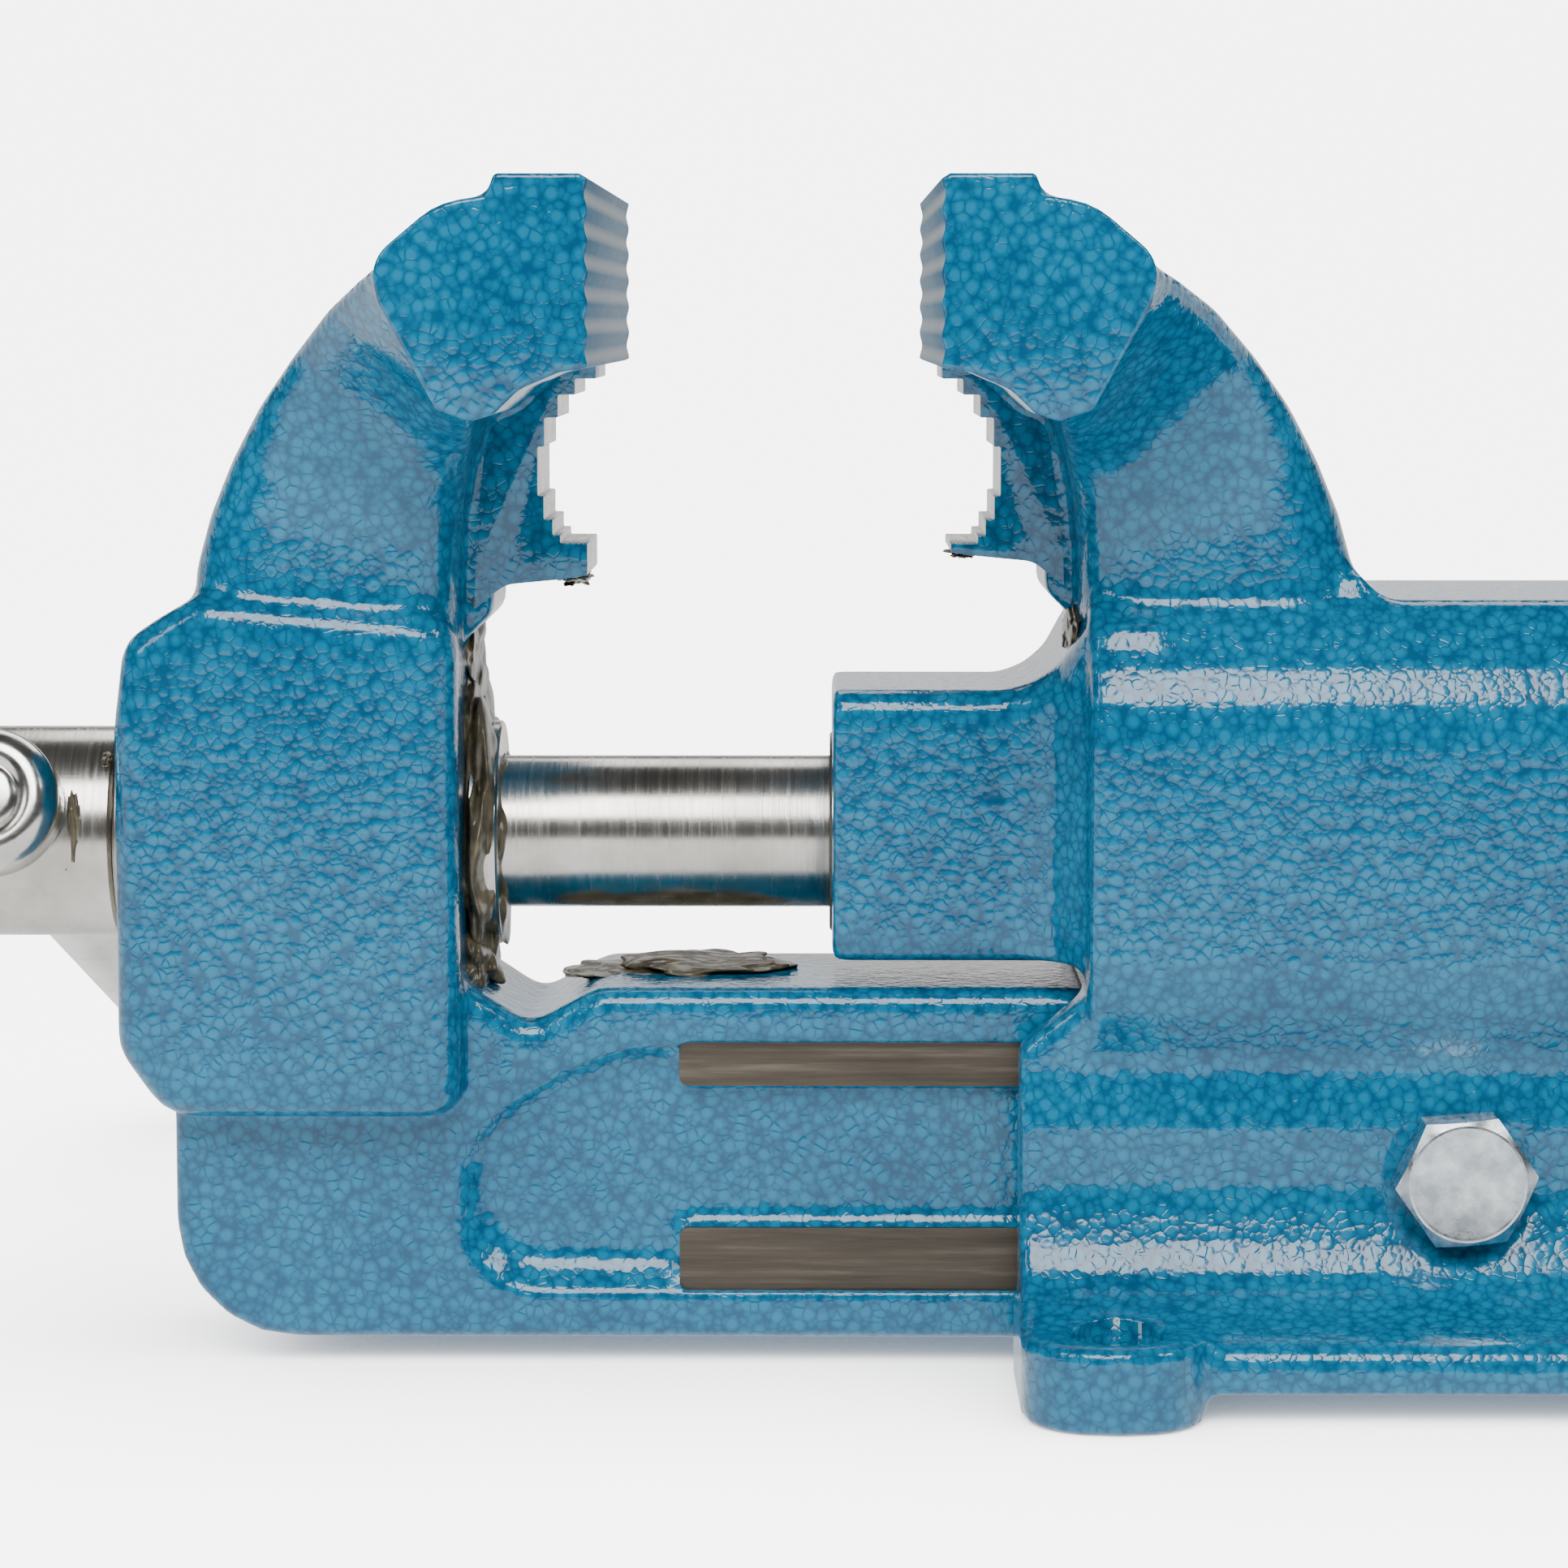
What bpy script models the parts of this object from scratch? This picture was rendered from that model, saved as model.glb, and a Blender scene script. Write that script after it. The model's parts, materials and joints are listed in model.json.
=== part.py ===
"""Forged bench vise with pipe jaws, in metres, +Z up, jaws opening along X.

The world origin is the centre of the fixed gripping face, and the fixed jaw lies towards +X.
Pieces are drawn at their height above the bench and hang on an empty that lowers them to the origin.
"""
import math

import bmesh
import bpy
from mathutils import Matrix, Vector

# Overall sizes
JAW_WIDTH = 0.120
JAW_GAP = 0.0427            # opening at rest
JAW_TOP = 0.1557            # above the bench
FACE_HEIGHT = 0.0206        # of the flat gripping faces
FIT = 0.0003                # gap between pieces that touch

# Jaw blocks and necks
TOP_PAD_LENGTH = 0.0113
TOP_STEP = 0.0026
NECK_HALF = 0.025           # half-width of both necks below the blocks
THROAT = 0.0195             # gripping face back to the neck's inner side
FIXED_NECK_EXTRA = 0.0036   # the fixed neck is the deeper of the two
MOVING_NECK_EXTRA = 0.0021

# Pipe jaws
PIPE_RADIUS = 0.0150
PIPE_OFFSET = 0.0059        # arc centre in front of the gripping face
PIPE_HEIGHT = 0.1183
PIPE_WEB_WIDTH = 0.027
PIPE_FIRST_STEP = 12.5      # degrees
PIPE_STEP = 13.5            # degrees

# Fixed body
BODY_FRONT = 0.0113
BODY_REAR = 0.165
BODY_TOP = 0.1020
BARREL_FRONT = 0.0200
BARREL_HALF = 0.0345
FLANK_HALF = 0.0315
WAIST_DEPTH = 0.0012        # hollow between the barrel and the flank
TUBE_FRONT = -0.0130
TUBE_HALF_WIDTH = 0.0190
TUBE_HALF_HEIGHT = 0.0180
TUBE_CORNER = 0.0030
FLANGE_HALF = 0.0520
FLANGE_UNDER = 0.0035
FLANGE_TOP = 0.0095
LUG_HALF = 0.0585
LUG_LENGTH = 0.0235
LUG_TOP = 0.0110
LUG_HOLE_RADIUS = 0.0055
LUG_HOLE_Y = 0.0480

# Moving jaw, from its gripping face
INNER_FACE = -0.0190
BOSS_FRONT = -0.0639
BOSS_HALF = 0.0275

# Slide, part of the moving jaw forging
SLIDE_HALF = 0.0190
SLIDE_FRONT = -0.0575        # back of the heel
SLIDE_BOTTOM = 0.0032
SLIDE_TOP = 0.0502
SLIDE_REAR = 0.2147
HEEL_RADIUS = 0.0160
RECESS_FLOOR = 0.0155       # half-thickness of the web between the side recesses
STRIP_HALF = 0.0174         # half-width over the milled strips
STRIP_START = 0.0095
UPPER_STRIP = (0.0372, 0.0432)
LOWER_STRIP = (0.0097, 0.0181)

# Guides
GIB_FRONT = 0.0140
GIB_REAR = 0.1550
GIB_THICKNESS = 0.0026
CHANNEL_HALF = SLIDE_HALF + GIB_THICKNESS + 3 * FIT
DOWEL_X = 0.110
DOWEL_RADIUS = 0.0025
DOWEL_DEPTH = 0.0035

# Spindle
AXIS_HEIGHT = 0.0692
SHANK_RADIUS = 0.01025
THREAD_RADIUS = SHANK_RADIUS - 0.00025
THREAD_START = 0.0490       # from the moving gripping face
SPINDLE_END = 0.2107
HEAD_RADIUS = 0.0142
HEAD_LENGTH = 0.0310
HEAD_EDGE = 0.0012
WASHER_THICKNESS = 0.0015
WASHER_RADIUS = 0.0150
BUSH_RADIUS = 0.0130
COLLAR_RADIUS = 0.0150
COLLAR_THICKNESS = 0.0040
PIN_RADIUS = 0.0015

# Nut in the tube
NUT_FRONT = 0.0340
NUT_LENGTH = 0.0400
NUT_RADIUS = 0.0145
RING_THICKNESS = 0.0020
RING_DEPTH = 0.0012
KEY_WIDTH = 0.0050
KEY_LENGTH = 0.0200
SET_SCREW_RADIUS = 0.0030
WIPER_RADIUS = 0.0135
WIPER_LENGTH = 0.0030

# Handle
BAR_RADIUS = 0.0060
BAR_LENGTH = 0.200
BAR_TILT = math.radians(18.0)
SPIGOT_RADIUS = 0.0046
CAP_RADIUS = 0.0096
CAP_LENGTH = 0.0085
CAP_EDGE = 0.0018

# Side bolt (M10, 16 mm across flats)
BOLT_X = 0.0684
BOLT_HEIGHT = 0.0280
BOLT_RADIUS = 0.0050
BOLT_FLATS = 0.0160
BOLT_HEAD = 0.0064

ROUND = 40                  # sides of a turned piece
CLEAR = 0.010               # how far a cutter runs past what it cuts

PARTS = "bench_vise"
CUTTERS = "cutters"


def remove_everything():
    for obj in list(bpy.data.objects):
        bpy.data.objects.remove(obj, do_unlink=True)
    for name in (PARTS, CUTTERS):
        collection = bpy.data.collections.new(name)
        bpy.context.scene.collection.children.link(collection)


def empty(name, location=(0, 0, 0), rotation=(0, 0, 0), parent=None):
    obj = bpy.data.objects.new(name, None)
    bpy.data.collections[PARTS].objects.link(obj)
    obj.parent = parent
    obj.location = location
    obj.rotation_euler = rotation
    return obj


def material(name, colour, roughness, metallic):
    mat = bpy.data.materials.new(name)
    mat.use_nodes = True
    shader = mat.node_tree.nodes["Principled BSDF"]
    shader.inputs["Base Color"].default_value = (*colour, 1.0)
    shader.inputs["Roughness"].default_value = roughness
    shader.inputs["Metallic"].default_value = metallic
    return mat


def enamel():
    return material("blue_hammered_enamel", (0.03, 0.20, 0.36), 0.25, 0.0)


def steel(name):
    return material(name, (0.56, 0.54, 0.50), 0.30, 1.0)


def bronze():
    return material("bronze", (0.55, 0.36, 0.16), 0.4, 1.0)


def solid(name, bm, parent, mat=None):
    """An object from a bmesh. Without a material it is a cutter or a piece to join."""
    bmesh.ops.recalc_face_normals(bm, faces=bm.faces[:])
    mesh = bpy.data.meshes.new(name)
    bm.to_mesh(mesh)
    bm.free()
    obj = bpy.data.objects.new(name, mesh)
    obj.parent = parent
    if mat is None:
        bpy.data.collections[CUTTERS].objects.link(obj)
        obj.hide_render = True
        obj.display_type = 'WIRE'
    else:
        bpy.data.collections[PARTS].objects.link(obj)
        mesh.materials.append(mat)
    return obj


def boolean(target, operation, pieces):
    for piece in pieces:
        modifier = target.modifiers.new(piece.name, 'BOOLEAN')
        modifier.operation = operation
        modifier.object = piece
        modifier.solver = 'EXACT'


def join(target, *pieces):
    boolean(target, 'UNION', pieces)


def cut(target, *pieces):
    boolean(target, 'DIFFERENCE', pieces)


def bevel(obj, width, segments=2, angle=40.0):
    modifier = obj.modifiers.new("rounded_edges", 'BEVEL')
    modifier.width = width
    modifier.segments = segments
    modifier.limit_method = 'ANGLE'
    modifier.angle_limit = math.radians(angle)
    return obj


def rounded(points, step=18.0):
    """Outline from (u, v) or (u, v, radius) points, with each radius drawn as an arc."""
    outline = []
    count = len(points)
    for index, point in enumerate(points):
        corner = Vector(point[:2])
        radius = point[2] if len(point) > 2 else 0.0
        if radius == 0.0:
            outline.append(corner)
            continue
        before = (Vector(points[index - 1][:2]) - corner).normalized()
        after = (Vector(points[(index + 1) % count][:2]) - corner).normalized()
        half = before.angle(after) / 2
        bisector = (before + after).normalized()
        centre = corner + bisector * radius / math.sin(half)
        start = corner + before * radius / math.tan(half) - centre
        end = corner + after * radius / math.tan(half) - centre
        sweep = start.angle_signed(end)
        steps = max(1, round(abs(math.degrees(sweep)) / step))
        for k in range(steps + 1):
            turn = Matrix.Rotation(-sweep * k / steps, 2)
            outline.append(centre + turn @ start)
    return outline


SIDE = Matrix(((1, 0, 0), (0, 0, -1), (0, 1, 0)))       # outline in XZ, thickness along Y
SECTION = Matrix(((0, 0, 1), (1, 0, 0), (0, 1, 0)))     # outline in YZ, thickness along X
PLAN = Matrix.Identity(3)                               # outline in XY, thickness along Z


def plate(name, outline, low, high, plane, parent, mat=None):
    """Flat outline with its thickness from low to high along the plane's normal."""
    curve = bpy.data.curves.new(name, 'CURVE')
    curve.dimensions = '2D'
    curve.fill_mode = 'BOTH'
    curve.extrude = (high - low) / 2
    spline = curve.splines.new('POLY')
    spline.points.add(len(outline) - 1)
    for spline_point, point in zip(spline.points, outline):
        spline_point.co = (point[0], point[1], 0, 1)
    spline.use_cyclic_u = True
    guide = bpy.data.objects.new(name + "_outline", curve)
    bpy.context.scene.collection.objects.link(guide)
    evaluated = guide.evaluated_get(bpy.context.evaluated_depsgraph_get())
    mesh = bpy.data.meshes.new_from_object(evaluated)
    bpy.data.objects.remove(guide, do_unlink=True)
    bm = bmesh.new()
    bm.from_mesh(mesh)
    bmesh.ops.remove_doubles(bm, verts=bm.verts[:], dist=1e-6)
    bmesh.ops.dissolve_limit(bm, angle_limit=math.radians(0.1), verts=bm.verts[:], edges=bm.edges[:])
    middle = -(high + low) / 2 if plane is SIDE else (high + low) / 2
    bmesh.ops.translate(bm, vec=(0, 0, middle), verts=bm.verts[:])
    bmesh.ops.transform(bm, matrix=plane.to_4x4(), verts=bm.verts[:])
    return solid(name, bm, parent, mat)


def box(name, low, high, parent, mat=None):
    bm = bmesh.new()
    bmesh.ops.create_cube(bm, size=1.0)
    centre = [(a + b) / 2 for a, b in zip(low, high)]
    size = [b - a for a, b in zip(low, high)]
    bmesh.ops.scale(bm, vec=size, verts=bm.verts[:])
    bmesh.ops.translate(bm, vec=centre, verts=bm.verts[:])
    return solid(name, bm, parent, mat)


def cylinder(name, radius, start, end, parent, mat=None, sides=ROUND):
    """Solid cylinder between two points, with a flat at its top when the sides divide by four."""
    start = Vector(start)
    end = Vector(end)
    bm = bmesh.new()
    bmesh.ops.create_cone(bm, cap_ends=True, segments=sides, radius1=radius, radius2=radius,
                          depth=(end - start).length)
    turn = Vector((0, 0, 1)).rotation_difference(end - start).to_matrix().to_4x4()
    place = Matrix.Translation((start + end) / 2) @ turn
    bmesh.ops.transform(bm, matrix=place, verts=bm.verts[:])
    return solid(name, bm, parent, mat)


def turned(name, profile, parent, mat, sides=ROUND):
    """Piece turned about its own X axis from (x, radius) points; a closed profile makes a ring."""
    bm = bmesh.new()
    verts = [bm.verts.new((radius, 0, x)) for x, radius in profile]
    for first, second in zip(verts, verts[1:]):
        bm.edges.new((first, second))
    if profile[0][1] > 0:
        bm.edges.new((verts[-1], verts[0]))
    mesh = bpy.data.meshes.new(name)
    bm.to_mesh(mesh)
    bm.free()
    obj = bpy.data.objects.new(name, mesh)
    bpy.data.collections[PARTS].objects.link(obj)
    obj.parent = parent
    obj.rotation_euler = (0, math.pi / 2, 0)
    mesh.materials.append(mat)
    screw = obj.modifiers.new("turning", 'SCREW')
    screw.axis = 'Z'
    screw.steps = sides
    screw.render_steps = sides
    screw.use_merge_vertices = True
    screw.merge_threshold = 0.00001
    return obj


def ring_profile(start, end, inner, outer, edge=0.0):
    """Closed profile of a ring, down its outer side first, with the outer edges chamfered."""
    if edge == 0.0:
        return [(end, outer), (start, outer), (start, inner), (end, inner)]
    return [(end, outer - edge), (end - edge, outer), (start + edge, outer), (start, outer - edge),
            (start, inner), (end, inner)]


def section_ring(outer, inner, half, corner, arc=4):
    """Rounded rectangle standing across Y, from an outer to an inner (x, z) point."""
    outer = Vector((outer[0], 0, outer[1]))
    inner = Vector((inner[0], 0, inner[1]))
    centre = (outer + inner) / 2
    depth = (inner - outer).length / 2
    along = (inner - outer).normalized()
    across = Vector((0, 1, 0))
    points = []
    for quarter in range(4):
        sign_along = 1 if quarter in (0, 3) else -1
        sign_across = 1 if quarter in (0, 1) else -1
        for k in range(arc + 1):
            angle = math.pi / 2 * (quarter + k / arc)
            u = sign_along * (depth - corner) + corner * math.cos(angle)
            v = sign_across * (half - corner) + corner * math.sin(angle)
            points.append(centre + along * u + across * v)
    return points


def loft(name, rings, parent, mat=None):
    """Closed skin through sections with equal numbers of points."""
    bm = bmesh.new()
    loops = [[bm.verts.new(point) for point in ring] for ring in rings]
    for lower, upper in zip(loops, loops[1:]):
        for k in range(len(lower)):
            n = (k + 1) % len(lower)
            bm.faces.new((lower[k], lower[n], upper[n], upper[k]))
    bm.faces.new(loops[0])
    bm.faces.new(loops[-1])
    bmesh.ops.triangulate(bm, faces=[face for face in bm.faces if len(face.verts) == 4])
    return solid(name, bm, parent, mat)


def block_outline():
    """Side outline of a jaw block, x measured back from the gripping face."""
    pad = TOP_PAD_LENGTH
    shoulder = JAW_TOP - TOP_STEP
    foot = JAW_TOP - FACE_HEIGHT
    return rounded([(0, foot), (0, JAW_TOP), (pad, JAW_TOP, 0.0008), (pad + 0.001, shoulder, 0.001),
                    (pad + 0.007, shoulder - 0.001, 0.010), (0.0265, JAW_TOP - 0.0105, 0.005),
                    (0.0255, JAW_TOP - 0.0155, 0.004), (0.0185, JAW_TOP - 0.0285, 0.0015),
                    (0.0145, JAW_TOP - 0.0295, 0.002)])


def neck_rings(foot_x, foot_z, extra):
    """Sections of a neck from its foot up into the jaw block, x measured back from the gripping face.

    Each section has its outer and inner (x, z) points, its share of the extra depth, its share of the
    flare out to the block's width, and its corner radius.
    """
    block = JAW_WIDTH / 2 - 0.001
    sections = [((foot_x, foot_z), (THROAT, foot_z), 1.0, 0.00, 0.0080),
                ((0.0515, 0.1060), (THROAT - 0.0003, 0.1020), 1.0, 0.00, 0.0080),
                ((0.0495, 0.1130), (THROAT - 0.0005, 0.1080), 1.0, 0.01, 0.0080),
                ((0.0465, 0.1200), (THROAT - 0.0009, 0.1130), 1.0, 0.04, 0.0080),
                ((0.0425, 0.1270), (THROAT - 0.0015, 0.1170), 1.0, 0.11, 0.0075),
                ((0.0375, 0.1335), (THROAT - 0.0023, 0.1205), 1.0, 0.24, 0.0070),
                ((0.0322, 0.1395), (THROAT - 0.0033, 0.1235), 0.8, 0.48, 0.0050),
                ((0.0278, 0.1432), (THROAT - 0.0040, 0.1255), 0.4, 0.78, 0.0030),
                ((0.0255, 0.1448), (THROAT - 0.0045, 0.1270), 0.1, 1.00, 0.0010),
                ((0.0140, 0.1500), (THROAT - 0.0115, 0.1360), 0.0, 1.00, 0.0010)]
    rings = []
    for outer, inner, depth_share, flare, corner in sections:
        half = NECK_HALF + (block - NECK_HALF) * flare
        back = (outer[0] + extra * depth_share, outer[1])
        rings.append(section_ring(back, inner, half, corner))
    return rings


def pipe_outline(lip):
    """Side outline of a pipe jaw web: a stepped arc, then a lip that runs back to the neck."""
    outline = [(0.018, JAW_TOP - 0.012), (0.003, JAW_TOP - 0.012), (0.003, PIPE_HEIGHT + 0.0142)]
    edges = [PIPE_FIRST_STEP + PIPE_STEP * k for k in range(4)]
    angles = edges[::-1] + [-edge for edge in edges]
    for index, angle in enumerate(angles):
        height = PIPE_HEIGHT + PIPE_RADIUS * math.sin(math.radians(angle))
        above = angles[index - 1] if index > 0 else angle + PIPE_STEP
        below = angles[index + 1] if index + 1 < len(angles) else angle - PIPE_STEP
        for neighbour in (above, below):
            middle = math.radians((angle + neighbour) / 2)
            outline.append((PIPE_RADIUS * math.cos(middle) - PIPE_OFFSET, height))
    tip = PIPE_HEIGHT - PIPE_RADIUS * math.sin(math.radians(edges[-1])) - lip
    tip_x = outline[-1][0]
    tail = rounded([(tip_x, tip, 0.001), (tip_x + 0.010, tip - 0.0005, 0.004),
                    (THROAT, tip - 0.008, 0.006), (THROAT + 0.001, tip - 0.014), (0.030, tip - 0.014),
                    (0.030, JAW_TOP - 0.020)])
    return outline + tail


def flipped(points):
    return [(-point[0], *point[1:]) for point in points]


def flipped_rings(rings):
    return [[Vector((-point.x, point.y, point.z)) for point in ring] for ring in rings]


def tube_section(half_width, half_height, corner):
    z = AXIS_HEIGHT + 0.0025
    return rounded([(-half_width, z - half_height, corner), (half_width, z - half_height, corner),
                    (half_width, z + half_height, corner), (-half_width, z + half_height, corner)])


def mirrored(points):
    """Full outline from its right half, which runs upwards from the bench."""
    return points + [(-point[0], *point[1:]) for point in reversed(points)]


def fixed_jaw_body(frame):
    half = JAW_WIDTH / 2
    body = plate("fixed_jaw_body", block_outline(), -half, half, SIDE, frame, enamel())
    neck = loft("fixed_neck", neck_rings(0.0575, BODY_TOP - 0.030, FIXED_NECK_EXTRA), frame)
    web = plate("fixed_pipe_web", pipe_outline(0.0), -PIPE_WEB_WIDTH / 2, PIPE_WEB_WIDTH / 2, SIDE, frame)
    barrel = plate("barrel", rounded(mirrored([
        (FLANK_HALF - WAIST_DEPTH - 0.0005, 0.0420), (BARREL_HALF, 0.0520, 0.010),
        (BARREL_HALF, 0.0900, 0.014), (NECK_HALF, BODY_TOP, 0.004)])),
        BARREL_FRONT, BODY_REAR, SECTION, frame)
    shoulder = plate("shoulder", rounded([(0.045, 0.090), (0.0513 + FIXED_NECK_EXTRA, 0.106),
                                          (0.0545 + FIXED_NECK_EXTRA, BODY_TOP, 0.006),
                                          (0.075, BODY_TOP - 0.0008), (0.075, 0.090)]),
                     -NECK_HALF + 0.001, NECK_HALF - 0.001, SIDE, frame)
    tube = plate("tube", tube_section(TUBE_HALF_WIDTH, TUBE_HALF_HEIGHT, TUBE_CORNER),
                 TUBE_FRONT, BARREL_FRONT + 0.020, SECTION, frame)
    root_front = tube_section(TUBE_HALF_WIDTH, TUBE_HALF_HEIGHT, TUBE_CORNER)
    root_rear = tube_section(BARREL_HALF - 0.005, TUBE_HALF_HEIGHT + 0.010, TUBE_CORNER)
    root_rings = []
    for before_barrel, share in ((-0.0100, 0.0), (-0.0065, 0.12), (-0.0035, 0.35), (-0.0010, 0.75),
                                 (0.0015, 1.0), (0.0100, 1.0)):
        section = [front.lerp(rear, share) for front, rear in zip(root_front, root_rear)]
        root_rings.append([Vector((BARREL_FRONT + before_barrel, point[0], max(point[1], SLIDE_TOP + 0.004)))
                           for point in section])
    root = loft("tube_root", root_rings, frame)
    housing = plate("housing", rounded(mirrored([
        (FLANGE_HALF, FLANGE_UNDER, 0.001), (FLANGE_HALF, FLANGE_TOP, 0.003),
        (FLANK_HALF + 0.004, 0.0135, 0.010),
        (FLANK_HALF, 0.0250, 0.008), (FLANK_HALF, 0.0345, 0.003), (FLANK_HALF - WAIST_DEPTH, 0.0410, 0.004),
        (FLANK_HALF - 0.001, 0.0520)])),
        BODY_FRONT, BODY_REAR, SECTION, frame)
    notch_side = plate("front_notch", [(0, 0.0440), (BODY_FRONT, 0.0440), (BARREL_FRONT + 0.0005, 0.0515),
                                       (BARREL_FRONT + 0.0005, 0.0700), (0, 0.0700)],
                       -JAW_WIDTH, JAW_WIDTH, SIDE, frame)
    cut(housing, notch_side)
    join(body, neck, web, barrel, shoulder, tube, root, housing)
    lug_centres = (BODY_FRONT + LUG_LENGTH / 2, BODY_REAR - LUG_LENGTH / 2)
    for index, x in enumerate(lug_centres):
        low = x - LUG_LENGTH / 2 - (0.0005 if index == 0 else -0.0005)
        high = low + LUG_LENGTH
        for side, name in ((-1, "near"), (1, "far")):
            outline = rounded([(low, side * 0.026), (high, side * 0.026), (high, side * LUG_HALF, 0.010),
                               (low, side * LUG_HALF, 0.010)])
            join(body, plate(f"lug_{name}_{index}", outline, 0, LUG_TOP, PLAN, frame))
    channel = box("channel", (-CLEAR, -CHANNEL_HALF, -CLEAR),
                  (BODY_REAR + CLEAR, CHANNEL_HALF, SLIDE_TOP + FIT), frame)
    mouth = cylinder("spindle_mouth", SHANK_RADIUS + FIT, (TUBE_FRONT - CLEAR, 0, AXIS_HEIGHT),
                     (NUT_FRONT + CLEAR, 0, AXIS_HEIGHT), frame)
    wiper_seat = cylinder("wiper_seat", WIPER_RADIUS + FIT, (TUBE_FRONT - CLEAR, 0, AXIS_HEIGHT),
                          (TUBE_FRONT + WIPER_LENGTH, 0, AXIS_HEIGHT), frame)
    tunnel = cylinder("tunnel", NUT_RADIUS + FIT, (NUT_FRONT - FIT, 0, AXIS_HEIGHT),
                      (BODY_REAR + CLEAR, 0, AXIS_HEIGHT), frame)
    ring_x = NUT_FRONT + NUT_LENGTH + FIT
    groove = cylinder("ring_groove", NUT_RADIUS + RING_DEPTH + FIT, (ring_x, 0, AXIS_HEIGHT),
                      (ring_x + RING_THICKNESS + 2 * FIT, 0, AXIS_HEIGHT), frame)
    cut(body, channel, mouth, wiper_seat, tunnel, groove, key_room("body_keyway", frame))
    cut(body, set_screw_room("set_screw_hole", frame))
    for side, name in ((-1, "near"), (1, "far")):
        bolt_hole = cylinder(f"bolt_hole_{name}", BOLT_RADIUS + FIT, (BOLT_X, side * 0.015, BOLT_HEIGHT),
                             (BOLT_X, side * 0.060, BOLT_HEIGHT), frame, sides=24)
        spot_face = cylinder(f"spot_face_{name}", BOLT_FLATS / math.sqrt(3) + 2 * FIT,
                             (BOLT_X, side * (FLANK_HALF - 0.0002), BOLT_HEIGHT),
                             (BOLT_X, side * (FLANK_HALF + CLEAR), BOLT_HEIGHT), frame)
        cut(body, bolt_hole, spot_face, dowel_room(f"dowel_hole_{name}", side, frame))
        for index, x in enumerate(lug_centres):
            cut(body, cylinder(f"lug_hole_{name}_{index}", LUG_HOLE_RADIUS, (x, side * LUG_HOLE_Y, -CLEAR),
                               (x, side * LUG_HOLE_Y, LUG_TOP + CLEAR), frame, sides=24))
    return body


def key_room(name, frame, mat=None, gap=FIT):
    """The key stands half in the nut and half in the tube, above the spindle."""
    middle = NUT_FRONT + NUT_LENGTH / 2
    depth = KEY_WIDTH / 2 - 0.001
    length = KEY_LENGTH / 2 + gap
    width = KEY_WIDTH / 2 + gap
    height = AXIS_HEIGHT + NUT_RADIUS
    return box(name, (middle - length, -width, height - depth - gap),
               (middle + length, width, height + depth + gap), frame, mat)


def set_screw_room(name, frame, mat=None, gap=FIT):
    """The set screw rises from the channel's roof into the nut."""
    x = NUT_FRONT + NUT_LENGTH / 2
    top = AXIS_HEIGHT - NUT_RADIUS + 0.002 + gap
    low = SLIDE_TOP + 2 * FIT if mat else SLIDE_TOP - CLEAR / 4
    return cylinder(name, SET_SCREW_RADIUS + gap, (x, 0, low), (x, 0, top), frame, mat, sides=16)


def dowel_room(name, side, frame, mat=None, gap=FIT):
    """A dowel stands half in a gib and half in the channel's wall."""
    height = (UPPER_STRIP[0] + LOWER_STRIP[1]) / 2
    start = side * (CHANNEL_HALF - GIB_THICKNESS + 0.0006 - 2 * gap)
    end = side * (CHANNEL_HALF + DOWEL_DEPTH + gap)
    return cylinder(name, DOWEL_RADIUS + gap, (DOWEL_X, start, height), (DOWEL_X, end, height),
                    frame, mat, sides=16)


def shrunk(points, inset):
    """Outline with each side moved inwards; its (u, v, radius) points run anticlockwise."""
    moved = []
    for index, (u, v, radius) in enumerate(points):
        corner = Vector((u, v))
        before = (corner - Vector(points[index - 1][:2])).normalized()
        after = (Vector(points[(index + 1) % len(points)][:2]) - corner).normalized()
        inward_before = Vector((-before.y, before.x))
        inward_after = Vector((-after.y, after.x))
        shift = (inward_before + inward_after) * inset / (1 + inward_before.dot(inward_after))
        moved.append((u + shift.x, v + shift.y, radius - inset))
    return moved


def recess_cutter(name, side, frame):
    """Side recess of the slide, with sloping walls and a front end that follows the slide's upslope."""
    low = LOWER_STRIP[0]
    high = UPPER_STRIP[1]
    front = INNER_FACE - 0.001
    rear = SLIDE_REAR - 0.020
    outline = [(front, low, 0.011), (rear, low, 0.006), (rear, high, 0.006), (0.002, high, 0.011),
               (-0.0121, 0.0371, 0.020), (front, 0.0290, 0.007)]
    rings = []
    for inset, half in ((-0.001, SLIDE_HALF + 0.0008), (0.0, SLIDE_HALF), (0.0016, RECESS_FLOOR + 0.0018),
                        (0.0040, RECESS_FLOOR)):
        rings.append([Vector((point[0], side * half, point[1])) for point in rounded(shrunk(outline, inset))])
    return loft(name, rings, frame)


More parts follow.
